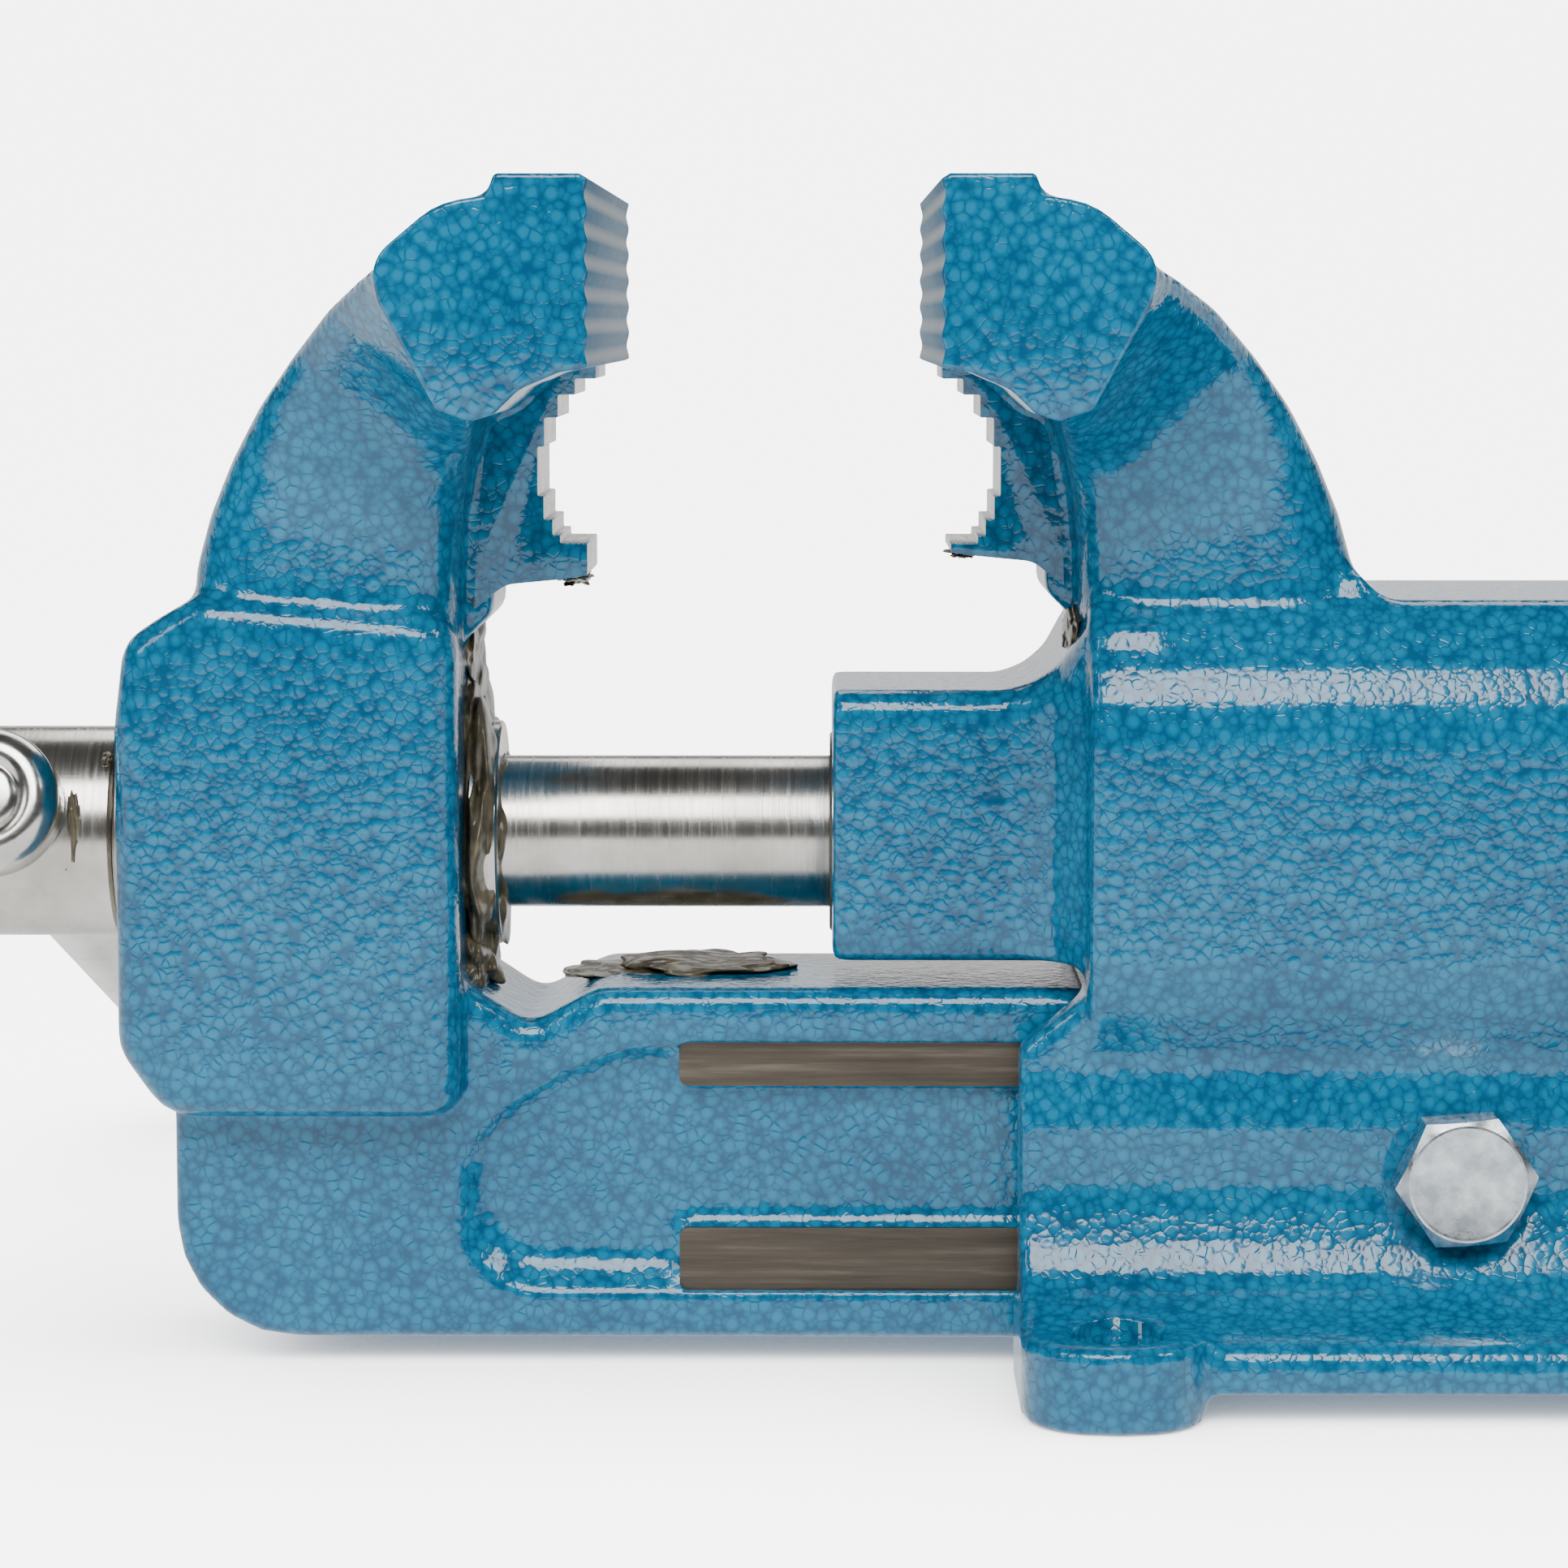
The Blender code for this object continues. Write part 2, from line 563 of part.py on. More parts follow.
def moving_jaw_body(frame):
    half = JAW_WIDTH / 2
    body = plate("moving_jaw_body", flipped(block_outline()), -half, half, SIDE, frame, enamel())
    neck = loft("moving_neck", flipped_rings(neck_rings(0.0530, 0.0850, MOVING_NECK_EXTRA)), frame)
    web = plate("moving_pipe_web", flipped(pipe_outline(0.003)), -PIPE_WEB_WIDTH / 2, PIPE_WEB_WIDTH / 2,
                SIDE, frame)
    boss = plate("boss", rounded([
        (INNER_FACE, 0.0430), (INNER_FACE, 0.1000), (-0.0520, 0.1030, 0.003), (-0.0580, 0.0995, 0.003),
        (BOSS_FRONT + 0.0014, 0.0965, 0.005), (BOSS_FRONT, 0.0850, 0.010), (BOSS_FRONT, 0.0430, 0.006),
        (SLIDE_FRONT - 0.0001, 0.0340), (INNER_FACE, 0.0340)]),
        -BOSS_HALF, BOSS_HALF, SIDE, frame)
    bevel(boss, 0.004, segments=3, angle=50.0)
    slide = plate("slide", rounded([
        (SLIDE_FRONT, SLIDE_BOTTOM, HEEL_RADIUS), (SLIDE_REAR, SLIDE_BOTTOM, 0.002),
        (SLIDE_REAR, SLIDE_TOP, 0.003), (-0.0014, SLIDE_TOP, 0.006), (-0.0104, 0.0453, 0.003),
        (INNER_FACE, 0.0510), (SLIDE_FRONT, 0.0510)]),
        -SLIDE_HALF, SLIDE_HALF, SIDE, frame)
    bevel(slide, 0.003, segments=2, angle=60.0)
    join(body, neck, web, boss, slide)
    bore = cylinder("bush_bore", BUSH_RADIUS + FIT, (BOSS_FRONT - CLEAR, 0, AXIS_HEIGHT),
                    (INNER_FACE + CLEAR, 0, AXIS_HEIGHT), frame)
    cut(body, bore)
    for side, name in ((-1, "near"), (1, "far")):
        cut(body, recess_cutter(f"recess_{name}", side, frame))
        for (low, high), level in ((UPPER_STRIP, "upper"), (LOWER_STRIP, "lower")):
            inner = (STRIP_START + FIT, side * (RECESS_FLOOR - 0.001), low + FIT / 3)
            skin = (SLIDE_REAR - 0.015, side * (SLIDE_HALF - 0.0005), high - FIT / 3)
            rail_low, rail_high = ordered(inner, skin)
            join(body, box(f"{level}_strip_{name}", rail_low, rail_high, frame))
            outside = (SLIDE_REAR + CLEAR, side * (SLIDE_HALF + CLEAR), high)
            room_low, room_high = ordered((STRIP_START, side * STRIP_HALF, low), outside)
            cut(body, box(f"{level}_mill_{name}", room_low, room_high, frame))
    return body


def ordered(first, second):
    low = tuple(min(a, b) for a, b in zip(first, second))
    high = tuple(max(a, b) for a, b in zip(first, second))
    return low, high


def gib(side, name, frame):
    """Guide strip with two rails that run in the slide's milled strips."""
    back = CHANNEL_HALF - FIT
    front = SLIDE_HALF + FIT
    tip = STRIP_HALF + FIT
    low_rail = (LOWER_STRIP[0] + FIT, LOWER_STRIP[1] - FIT)
    high_rail = (UPPER_STRIP[0] + FIT, UPPER_STRIP[1] - FIT)
    foot = low_rail[0] - 0.0015
    head = high_rail[1] + 0.0015
    half_outline = [(back, foot), (back, head), (front, head), (front, high_rail[1]), (tip, high_rail[1]),
                    (tip, high_rail[0]), (front, high_rail[0]), (front, low_rail[1]), (tip, low_rail[1]),
                    (tip, low_rail[0]), (front, low_rail[0]), (front, foot)]
    outline = [(side * y, z) for y, z in half_outline]
    strip = plate(f"guide_gib_{name}", outline, GIB_FRONT, GIB_REAR, SECTION, frame, steel("ground_steel"))
    cut(strip, dowel_room(f"gib_dowel_hole_{name}", side, frame))
    return strip


def side_bolt(side, name, frame):
    """Hex-head bolt that sets the gib: the shank stops at the gib's back."""
    head_face = FLANK_HALF + FIT
    outline = []
    for k in range(6):
        angle = math.radians(60 * k + 5)
        outline.append((BOLT_X + BOLT_FLATS / math.sqrt(3) * math.cos(angle),
                        BOLT_HEIGHT + BOLT_FLATS / math.sqrt(3) * math.sin(angle)))
    low, high = sorted((side * head_face, side * (head_face + BOLT_HEAD)))
    bolt = plate(f"side_bolt_{name}", outline, low, high, SIDE, frame, steel("zinc_plate"))
    shank = cylinder(f"bolt_shank_{name}", BOLT_RADIUS, (BOLT_X, side * CHANNEL_HALF, BOLT_HEIGHT),
                     (BOLT_X, side * (head_face + 0.001), BOLT_HEIGHT), frame, sides=24)
    join(bolt, shank)
    return bolt


def spindle_pieces(frame, jaw_frame):
    """Spindle with its head, washer, bush, collar and pin, x measured from the moving gripping face."""
    head_end = BOSS_FRONT - WASHER_THICKNESS - 2 * FIT
    head_start = head_end - HEAD_LENGTH
    profile = [(SPINDLE_END, 0), (SPINDLE_END, THREAD_RADIUS - 0.002), (SPINDLE_END - 0.002, THREAD_RADIUS),
               (THREAD_START, THREAD_RADIUS), (THREAD_START - 0.0005, SHANK_RADIUS), (head_end, SHANK_RADIUS),
               (head_end, HEAD_RADIUS), (head_start + HEAD_EDGE, HEAD_RADIUS),
               (head_start, HEAD_RADIUS - HEAD_EDGE), (head_start, 0)]
    spindle = turned("spindle", profile, frame, steel("turned_steel"))
    washer_x = head_end + FIT
    turned("thrust_washer", ring_profile(washer_x, washer_x + WASHER_THICKNESS, SHANK_RADIUS + FIT,
                                         WASHER_RADIUS, 0.0003), frame, steel("ground_steel"))
    turned("spindle_bush", ring_profile(BOSS_FRONT + FIT, INNER_FACE - FIT, SHANK_RADIUS + FIT, BUSH_RADIUS),
           jaw_frame, bronze())
    collar_x = INNER_FACE + FIT
    collar = turned("spindle_collar", ring_profile(collar_x, collar_x + COLLAR_THICKNESS, SHANK_RADIUS + FIT,
                                                   COLLAR_RADIUS, 0.0006), frame, steel("turned_steel"))
    pin_x = collar_x + COLLAR_THICKNESS / 2
    reach = COLLAR_RADIUS - 0.001
    cylinder("collar_roll_pin", PIN_RADIUS, (pin_x, 0, -reach), (pin_x, 0, reach), frame,
             steel("spring_steel"), sides=12)
    pin_hole = cylinder("pin_hole", PIN_RADIUS + FIT, (pin_x, 0, -COLLAR_RADIUS - CLEAR),
                        (pin_x, 0, COLLAR_RADIUS + CLEAR), frame, sides=12)
    cut(collar, pin_hole)
    cross_hole = cylinder("handle_hole", BAR_RADIUS + FIT, (bar_x(), *across_bar(-HEAD_RADIUS - CLEAR)),
                          (bar_x(), *across_bar(HEAD_RADIUS + CLEAR)), frame, sides=32)
    cut(spindle, pin_hole, cross_hole)
    return spindle


def bar_x():
    """The handle bar's place along the spindle, from the moving gripping face."""
    return BOSS_FRONT - WASHER_THICKNESS - 2 * FIT - HEAD_LENGTH / 2


def across_bar(distance):
    """(y, z) from the spindle's axis to a point on the bar."""
    return distance * math.cos(BAR_TILT), -distance * math.sin(BAR_TILT)


def handle(frame):
    """Bar and its two caps along the frame's X axis, the near cap against the spindle's head."""
    near = -HEAD_RADIUS - 2 * FIT - CAP_LENGTH
    far = near + BAR_LENGTH
    spigot = CAP_LENGTH + FIT
    turned("handle_bar", [(far, 0), (far, SPIGOT_RADIUS - 0.0006), (far - 0.0006, SPIGOT_RADIUS),
                          (far - spigot, SPIGOT_RADIUS), (far - spigot, BAR_RADIUS),
                          (near + spigot, BAR_RADIUS), (near + spigot, SPIGOT_RADIUS),
                          (near + 0.0006, SPIGOT_RADIUS), (near, SPIGOT_RADIUS - 0.0006), (near, 0)],
           frame, steel("drawn_steel"), sides=32)
    for name, start in (("near", near), ("far", far - CAP_LENGTH)):
        profile = ring_profile(start, start + CAP_LENGTH, SPIGOT_RADIUS + FIT, CAP_RADIUS, CAP_EDGE)
        turned(f"handle_cap_{name}", profile, frame, steel("turned_steel"), sides=32)


def nut_pieces(frame, tube_frame):
    profile = ring_profile(NUT_FRONT, NUT_FRONT + NUT_LENGTH, SHANK_RADIUS + FIT, NUT_RADIUS, 0.0008)
    nut = turned("spindle_nut", profile, tube_frame, bronze())
    cut(nut, key_room("nut_keyway", frame), set_screw_room("nut_dimple", frame))
    key_room("nut_key", frame, steel("key_steel"), gap=0.0)
    set_screw_room("nut_set_screw", frame, steel("black_steel"), gap=0.0)
    ring_x = NUT_FRONT + NUT_LENGTH + 2 * FIT
    turned("nut_retaining_ring", ring_profile(ring_x, ring_x + RING_THICKNESS, SHANK_RADIUS + 0.0015,
                                              NUT_RADIUS + RING_DEPTH), tube_frame, steel("spring_steel"))
    wiper_x = TUBE_FRONT - FIT
    turned("tube_wiper_ring", ring_profile(wiper_x, wiper_x + WIPER_LENGTH, SHANK_RADIUS + FIT, WIPER_RADIUS,
                                           0.0004), tube_frame, steel("ground_steel"))


def build():
    remove_everything()
    face_centre = JAW_TOP - FACE_HEIGHT / 2
    bench = empty("bench_level", location=(0, 0, -face_centre))
    jaw_frame = empty("moving_jaw_frame", location=(-JAW_GAP, 0, 0), parent=bench)
    tube_frame = empty("tube_axis", location=(0, 0, AXIS_HEIGHT), parent=bench)
    spindle_frame = empty("spindle_axis", location=(0, 0, AXIS_HEIGHT), parent=jaw_frame)
    handle_frame = empty("handle_axis", location=(bar_x(), 0, 0), parent=spindle_frame)
    handle_frame.rotation_euler = Matrix((Vector((0, math.cos(BAR_TILT), -math.sin(BAR_TILT))),
                                          Vector((0, math.sin(BAR_TILT), math.cos(BAR_TILT))),
                                          Vector((1, 0, 0)))).transposed().to_euler()
    bpy.context.view_layer.update()
    fixed_jaw_body(bench)
    moving_jaw_body(jaw_frame)
    spindle_pieces(spindle_frame, spindle_frame)
    handle(handle_frame)
    nut_pieces(bench, tube_frame)
    for side, name in ((-1, "near"), (1, "far")):
        gib(side, name, bench)
        side_bolt(side, name, bench)
        dowel_room(f"gib_dowel_{name}", side, bench, steel("ground_steel"), gap=0.0)
    bpy.context.view_layer.update()


build()
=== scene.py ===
"""Looks of the bench vise: two enamelled forgings, a turned steel screw and handle, zinc-plated bolts.

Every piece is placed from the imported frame. Lengths are metres, and MM turns millimetres into them.
"""

import json
import math

import bmesh
import bpy
from mathutils import Matrix, Vector, noise


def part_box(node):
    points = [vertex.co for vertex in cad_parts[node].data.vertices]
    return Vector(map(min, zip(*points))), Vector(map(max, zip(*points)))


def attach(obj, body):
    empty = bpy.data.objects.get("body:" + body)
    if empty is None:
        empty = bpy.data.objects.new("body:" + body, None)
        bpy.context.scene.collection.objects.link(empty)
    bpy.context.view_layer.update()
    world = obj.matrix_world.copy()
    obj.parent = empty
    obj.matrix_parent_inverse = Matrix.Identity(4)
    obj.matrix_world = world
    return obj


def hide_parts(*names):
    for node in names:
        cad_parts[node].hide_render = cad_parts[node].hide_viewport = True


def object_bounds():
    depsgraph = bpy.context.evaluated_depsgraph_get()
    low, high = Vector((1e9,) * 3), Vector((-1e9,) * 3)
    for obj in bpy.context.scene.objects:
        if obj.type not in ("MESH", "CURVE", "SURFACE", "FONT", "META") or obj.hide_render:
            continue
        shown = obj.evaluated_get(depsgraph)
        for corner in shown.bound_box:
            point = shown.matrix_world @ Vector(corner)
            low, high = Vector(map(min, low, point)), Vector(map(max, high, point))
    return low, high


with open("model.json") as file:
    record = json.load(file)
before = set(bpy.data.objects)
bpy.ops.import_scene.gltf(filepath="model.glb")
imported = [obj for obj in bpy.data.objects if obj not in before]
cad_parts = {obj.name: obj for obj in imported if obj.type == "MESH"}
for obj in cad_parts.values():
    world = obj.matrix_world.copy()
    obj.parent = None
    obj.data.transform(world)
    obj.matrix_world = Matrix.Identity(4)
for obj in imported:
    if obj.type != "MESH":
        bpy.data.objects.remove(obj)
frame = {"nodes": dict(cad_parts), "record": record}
cad_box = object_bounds()

MM = 0.001

# Places, all read from the frame
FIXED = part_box("fixed_jaw_body")
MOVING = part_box("moving_jaw_body")
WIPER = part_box("tube_wiper_ring")
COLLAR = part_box("spindle_collar")
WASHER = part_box("thrust_washer")
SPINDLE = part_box("spindle")
BOLT = {side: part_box(f"side_bolt_{side}") for side in ("near", "far")}

BENCH = FIXED[0][2]
JAW_TOP = FIXED[1][2]
HALF_WIDTH = FIXED[1][1]
MOVING_FACE = next(m["pos_m"][0] for m in frame["record"]["mounts"] if m["name"] == "moving_jaw_face")
AXIS_Z = (WIPER[0][2] + WIPER[1][2]) / 2
HEAD_RADIUS = (SPINDLE[1][2] - SPINDLE[0][2]) / 2

# Forging details that are drawn crisp on the smoothed bodies
FACE_HEIGHT = 23.2 * MM
GROOVES = 6
GROOVE_DEPTH = 0.35 * MM
PIPE_RADIUS = 15.0 * MM
PIPE_OFFSET = 5.9 * MM
PIPE_Z = BENCH + 118.3 * MM
WEB_HALF = 13.5 * MM
PROUD = 0.12 * MM           # crisp pieces stand this far out of the smoothed forging
VOXEL = 0.9 * MM
SOFTENING = 7               # smoothing passes: about 1 mm of edge radius

# Milled strips in the slide's sides, and the drilled lugs
STRIP_START = MOVING_FACE + 9.5 * MM
STRIP_HALF = 17.4 * MM
STRIPS = (("upper", 37.2 * MM, 43.2 * MM), ("lower", 9.7 * MM, 18.1 * MM))
SLIDE_TOP = BENCH + 50.2 * MM
LUG_X = (23.05 * MM, 153.25 * MM)
LUG_Y = 48 * MM
LUG_HOLE_RADIUS = 5.7 * MM

# Spindle
SHANK_RADIUS = 10.25 * MM
BORE_RADIUS = SHANK_RADIUS + 0.3 * MM
THREAD_START = MOVING_FACE + 49 * MM
THREAD_PITCH = 4 * MM
THREAD_STARTS = 2
THREAD_DEPTH = 2.2 * MM
CREST_RADIUS = 10.0 * MM
FLANK_SHARE = 0.12          # of the pitch, for each sloping flank

# Handle
BAR_TILT = math.radians(18)
BAR_RADIUS = 6 * MM
CAP_RADIUS = 9.6 * MM
CAP_LENGTH = 8.5 * MM
BAR_LENGTH = 200 * MM

# Side bolts
BOLT_SEAT = 31.6 * MM       # from the middle plane to the flank under the head
BOLT_FLATS = 16.0 * MM
BOLT_TURN = 5               # degrees

# View
CAMERA_PLACE = (-14.8 * MM, -606.7 * MM, BENCH + 138.0 * MM)
CAMERA_PITCH = math.radians(5.873)
CAMERA_YAW = math.radians(0.4415)
CAMERA_LENS = 103.4


# ---------------------------------------------------------------- materials

def linear(hex_colour):
    """sRGB hex to linear RGBA."""
    channels = [int(hex_colour[i:i + 2], 16) / 255 for i in (1, 3, 5)]
    return [c / 12.92 if c <= 0.04045 else ((c + 0.055) / 1.055) ** 2.4 for c in channels] + [1.0]


def add(tree, kind, settings=None, links=None, **values):
    """Adds a node, sets its properties and input values, and links its inputs to other nodes' sockets."""
    node = tree.nodes.new(kind)
    for name, value in (settings or {}).items():
        setattr(node, name, value)
    for name, value in values.items():
        node.inputs[name.replace("_", " ")].default_value = value
    for name, socket in (links or {}).items():
        tree.links.new(socket, node.inputs[name])
    return node


def ramp(tree, factor, stops, interpolation='LINEAR'):
    node = add(tree, "ShaderNodeValToRGB", links={0: factor})
    node.color_ramp.interpolation = interpolation
    elements = node.color_ramp.elements
    while len(elements) < len(stops):
        elements.new(0.5)
    for element, (place, colour) in zip(elements, stops):
        element.position = place
        element.color = linear(colour)
    return node.outputs["Color"]


def grey(level):
    value = round(255 * level)
    return f"#{value:02x}{value:02x}{value:02x}"


def new_material(name, **shader_values):
    material = bpy.data.materials.new(name)
    material.use_nodes = True
    tree = material.node_tree
    shader = tree.nodes["Principled BSDF"]
    for socket, value in shader_values.items():
        shader.inputs[socket.replace("_", " ")].default_value = value
    return material, tree, shader


def place_of(tree, stretch=(1, 1, 1)):
    """Object coordinates in metres, stretched along each axis."""
    place = add(tree, "ShaderNodeTexCoord").outputs["Object"]
    return add(tree, "ShaderNodeMapping", links={"Vector": place}, Scale=stretch).outputs["Vector"]


def hammered_enamel(name, roughness, index):
    """Hammer-finish enamel: sprayed, it shrinks into round cells a millimetre or two across while it dries.

    Each cell is a paler, slightly raised island in a thin dark net, under one glossy, softly rippled skin.
    """
    cell = 1.7 * MM
    material, tree, shader = new_material(name, Roughness=roughness, IOR=index)
    place = place_of(tree)
    wobble = add(tree, "ShaderNodeTexNoise", links={"Vector": place}, Scale=1 / (1.6 * MM), Detail=1.0)
    offset = add(tree, "ShaderNodeVectorMath", {"operation": 'SUBTRACT'}, {0: wobble.outputs["Color"]})
    offset.inputs[1].default_value = (0.5, 0.5, 0.5)
    scaled = add(tree, "ShaderNodeVectorMath", {"operation": 'SCALE'}, {0: offset.outputs[0]}, Scale=0.5 * MM)
    warped = add(tree, "ShaderNodeVectorMath", {"operation": 'ADD'}, {0: place, 1: scaled.outputs[0]})
    net = None
    for size, bright in ((cell, 1.0), (cell * 0.62, 0.8)):
        middles = add(tree, "ShaderNodeTexVoronoi", {"feature": 'F1'}, {"Vector": warped.outputs[0]}, Scale=1 / size)
        edges = add(tree, "ShaderNodeTexVoronoi", {"feature": 'DISTANCE_TO_EDGE'}, {"Vector": warped.outputs[0]},
                    Scale=1 / size)
        blob = ramp(tree, middles.outputs["Distance"], [(0.30, grey(bright)), (0.52, grey(0.7 * bright)),
                                                        (0.68, grey(0.0))])
        gap = ramp(tree, edges.outputs["Distance"], [(0.0, grey(0.45)), (0.09, grey(1.0))])
        layer = add(tree, "ShaderNodeMath", {"operation": 'MULTIPLY'}, {0: blob, 1: gap}).outputs[0]
        net = layer if net is None else add(tree, "ShaderNodeMath", {"operation": 'MAXIMUM'},
                                            {0: net, 1: layer}).outputs[0]
    cloud = add(tree, "ShaderNodeTexNoise", links={"Vector": place}, Scale=1 / (25 * MM), Detail=2.0)
    body = ramp(tree, cloud.outputs["Fac"], [(0.35, "#096c91"), (0.65, "#12769b")])
    joints = ramp(tree, cloud.outputs["Fac"], [(0.35, "#04496c"), (0.65, "#075275")])
    colour = add(tree, "ShaderNodeMix", {"data_type": 'RGBA'}, {0: net, 6: joints, 7: body})
    tree.links.new(colour.outputs[2], shader.inputs["Base Color"])
    peel = add(tree, "ShaderNodeTexNoise", links={"Vector": place}, Scale=1 / (2.4 * MM), Detail=1.5, Roughness=0.5)
    height = add(tree, "ShaderNodeMix", {"data_type": 'FLOAT'}, {2: net, 3: peel.outputs["Fac"]})
    height.inputs[0].default_value = 0.7
    bump = add(tree, "ShaderNodeBump", links={"Height": height.outputs[0]}, Strength=0.5, Distance=0.22 * MM)
    tree.links.new(bump.outputs["Normal"], shader.inputs["Normal"])
    return material


def gripping_enamel():
    """The enamel of the gripping faces, dulled by clamping, with a painted highlight: pale on the upper flank of each
    wave, where light from above falls.
    """
    material = hammered_enamel("enamel_dulled_by_clamping", 0.5, 1.3)
    tree = material.node_tree
    shader = tree.nodes["Principled BSDF"]
    height = add(tree, "ShaderNodeSeparateXYZ", links={0: place_of(tree)}).outputs["Z"]
    phase = add(tree, "ShaderNodeMath", {"operation": 'MULTIPLY_ADD'}, {0: height})
    phase.inputs[1].default_value = 2 * math.pi * GROOVES / FACE_HEIGHT
    phase.inputs[2].default_value = -2 * math.pi * GROOVES * (JAW_TOP / FACE_HEIGHT - 1)
    wave = add(tree, "ShaderNodeMath", {"operation": 'SINE'}, {0: phase.outputs[0]})
    # Painted highlight: the upper flank of each wave is made pale, as if lit from above.
    lit_flank_highlight = add(tree, "ShaderNodeMapRange", links={"Value": wave.outputs[0]}, From_Min=-0.4, From_Max=1.0,
                 To_Min=0.05, To_Max=0.62)
    enamel = shader.inputs["Base Color"].links[0].from_socket
    colour = add(tree, "ShaderNodeMix", {"data_type": 'RGBA'}, {0: lit_flank_highlight.outputs[0], 6: enamel})
    colour.inputs[7].default_value = linear("#c3c2c0")
    tree.links.new(colour.outputs[2], shader.inputs["Base Color"])
    return material


def metal(name, colours, roughness, lines_mm, stretch, bump_um, patch_mm=14.0):
    """Bare metal whose tool marks run where stretch is small; colours vary softly in patches."""
    material, tree, shader = new_material(name, Metallic=1.0)
    patches = add(tree, "ShaderNodeTexNoise", links={"Vector": place_of(tree)}, Scale=1 / (patch_mm * MM),
                  Detail=4.0, Roughness=0.6)
    colour = ramp(tree, patches.outputs["Fac"], [(0.35, colours[0]), (0.68, colours[1])])
    tree.links.new(colour, shader.inputs["Base Color"])
    lines = add(tree, "ShaderNodeTexNoise", links={"Vector": place_of(tree, stretch)}, Scale=1 / (lines_mm * MM),
                Detail=5.0, Roughness=0.65)
    gloss = ramp(tree, lines.outputs["Fac"], [(0.3, grey(roughness[0])), (0.7, grey(roughness[1]))])
    separate = add(tree, "ShaderNodeRGBToBW", links={0: gloss})
    tree.links.new(separate.outputs[0], shader.inputs["Roughness"])
    bump = add(tree, "ShaderNodeBump", links={"Height": lines.outputs["Fac"]}, Strength=0.6,
               Distance=bump_um * 0.001 * MM)
    tree.links.new(bump.outputs["Normal"], shader.inputs["Normal"])
    return material


def turned_steel():
    """Steel turned on a lathe: fine rings round the X axis that draw the light out along the shaft."""
    return metal("turned_steel", ("#b0aca4", "#d4d1ca"), (0.46, 0.58), 0.55, (1, 0.03, 0.03), 30)


def handle_steel():
    """Drawn bar and turned caps, polished by hands: soft, with few marks."""
    return metal("polished_steel", ("#bdbbb6", "#dddcd8"), (0.42, 0.55), 1.2, (0.3, 0.3, 1), 12)


def ground_steel():
    """Surface-ground steel, grey and satin."""
    return metal("ground_steel", ("#8f8c86", "#b4b1aa"), (0.55, 0.68), 0.5, (0.05, 1, 1), 15)


def tooth_steel():
    """Bare steel of the pipe teeth, broached along Y and bright."""
    return metal("broached_steel", ("#b9b5ac", "#e4e1d9"), (0.48, 0.62), 0.7, (1, 0.05, 1), 25, patch_mm=5.0)


def zinc_plate():
    """Bright zinc plate on a cold-headed bolt: bluish white, slightly mottled."""
    return metal("zinc_plated_bolt", ("#a7b0b6", "#dfe5e8"), (0.48, 0.66), 1.6, (1, 1, 1), 40, patch_mm=3.0)


def spring_steel():
    """Oil-dark spring steel."""
    return metal("oiled_spring_steel", ("#4a4742", "#6b6760"), (0.52, 0.66), 0.8, (1, 1, 1), 10)


def bronze():
    """Machined bronze, dull gold with turning rings."""
    return metal("machined_bronze", ("#8d6a3c", "#b58f57"), (0.50, 0.64), 0.6, (1, 0.05, 0.05), 20)


def milled_strip():
    """Milled steel under a film of old grease: brown grey, with cutter marks along the slide."""
    material, tree, shader = new_material("greased_milled_steel", Metallic=0.55, Roughness=0.38)
    streaks = add(tree, "ShaderNodeTexNoise", links={"Vector": place_of(tree, (0.05, 1, 1))}, Scale=1 / (1.4 * MM),
                  Detail=5.0, Roughness=0.6)
    colour = ramp(tree, streaks.outputs["Fac"], [(0.25, "#38332c"), (0.55, "#544c42"), (0.8, "#7b7266")])
    tree.links.new(colour, shader.inputs["Base Color"])
    bump = add(tree, "ShaderNodeBump", links={"Height": streaks.outputs["Fac"]}, Strength=0.5, Distance=0.04 * MM)
    tree.links.new(bump.outputs["Normal"], shader.inputs["Normal"])
    return material


def grease():
    """Lithium grease with swarf in it: olive brown, wet, slightly see-through at its edges."""
    material, tree, shader = new_material("olive_grease", Roughness=0.27, IOR=1.47, Subsurface_Weight=0.12,
                                          Subsurface_Scale=1.5 * MM)
    clots = add(tree, "ShaderNodeTexNoise", links={"Vector": place_of(tree)}, Scale=1 / (3 * MM), Detail=2.0,
                Roughness=0.5)
    colour = ramp(tree, clots.outputs["Fac"], [(0.3, "#3c382c"), (0.55, "#5b5443"), (0.75, "#787059")])
    tree.links.new(colour, shader.inputs["Base Color"])
    bump = add(tree, "ShaderNodeBump", links={"Height": clots.outputs["Fac"]}, Strength=0.6, Distance=0.4 * MM)
    tree.links.new(bump.outputs["Normal"], shader.inputs["Normal"])
    return material


ENAMEL = hammered_enamel("hammered_enamel_on_forged_steel", 0.11, 1.52)
GRIP = gripping_enamel()
TURNED = turned_steel()
POLISHED = handle_steel()
GROUND = ground_steel()
TOOTH = tooth_steel()
ZINC = zinc_plate()
SPRING = spring_steel()
BRONZE = bronze()
STRIP = milled_strip()
GREASE = grease()


# ---------------------------------------------------------------- mesh tools

def piece(name, bm, material, smooth_below=40):
    """A shown object from a bmesh, shaded smooth up to an angle in degrees."""
    bmesh.ops.recalc_face_normals(bm, faces=bm.faces[:])
    mesh = bpy.data.meshes.new(name)
    bm.to_mesh(mesh)
    bm.free()
    mesh.materials.append(material)
    mesh.shade_smooth()
    mesh.set_sharp_from_angle(angle=math.radians(smooth_below))
    obj = bpy.data.objects.new(name, mesh)
    bpy.context.scene.collection.objects.link(obj)
    return obj


def stand_for(obj, body, slot, *nodes):
    """The piece rides on a body and hides the nodes that it stands for; the slot is not used."""
    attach(obj, body)
    if nodes:
        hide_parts(*nodes)
    return obj


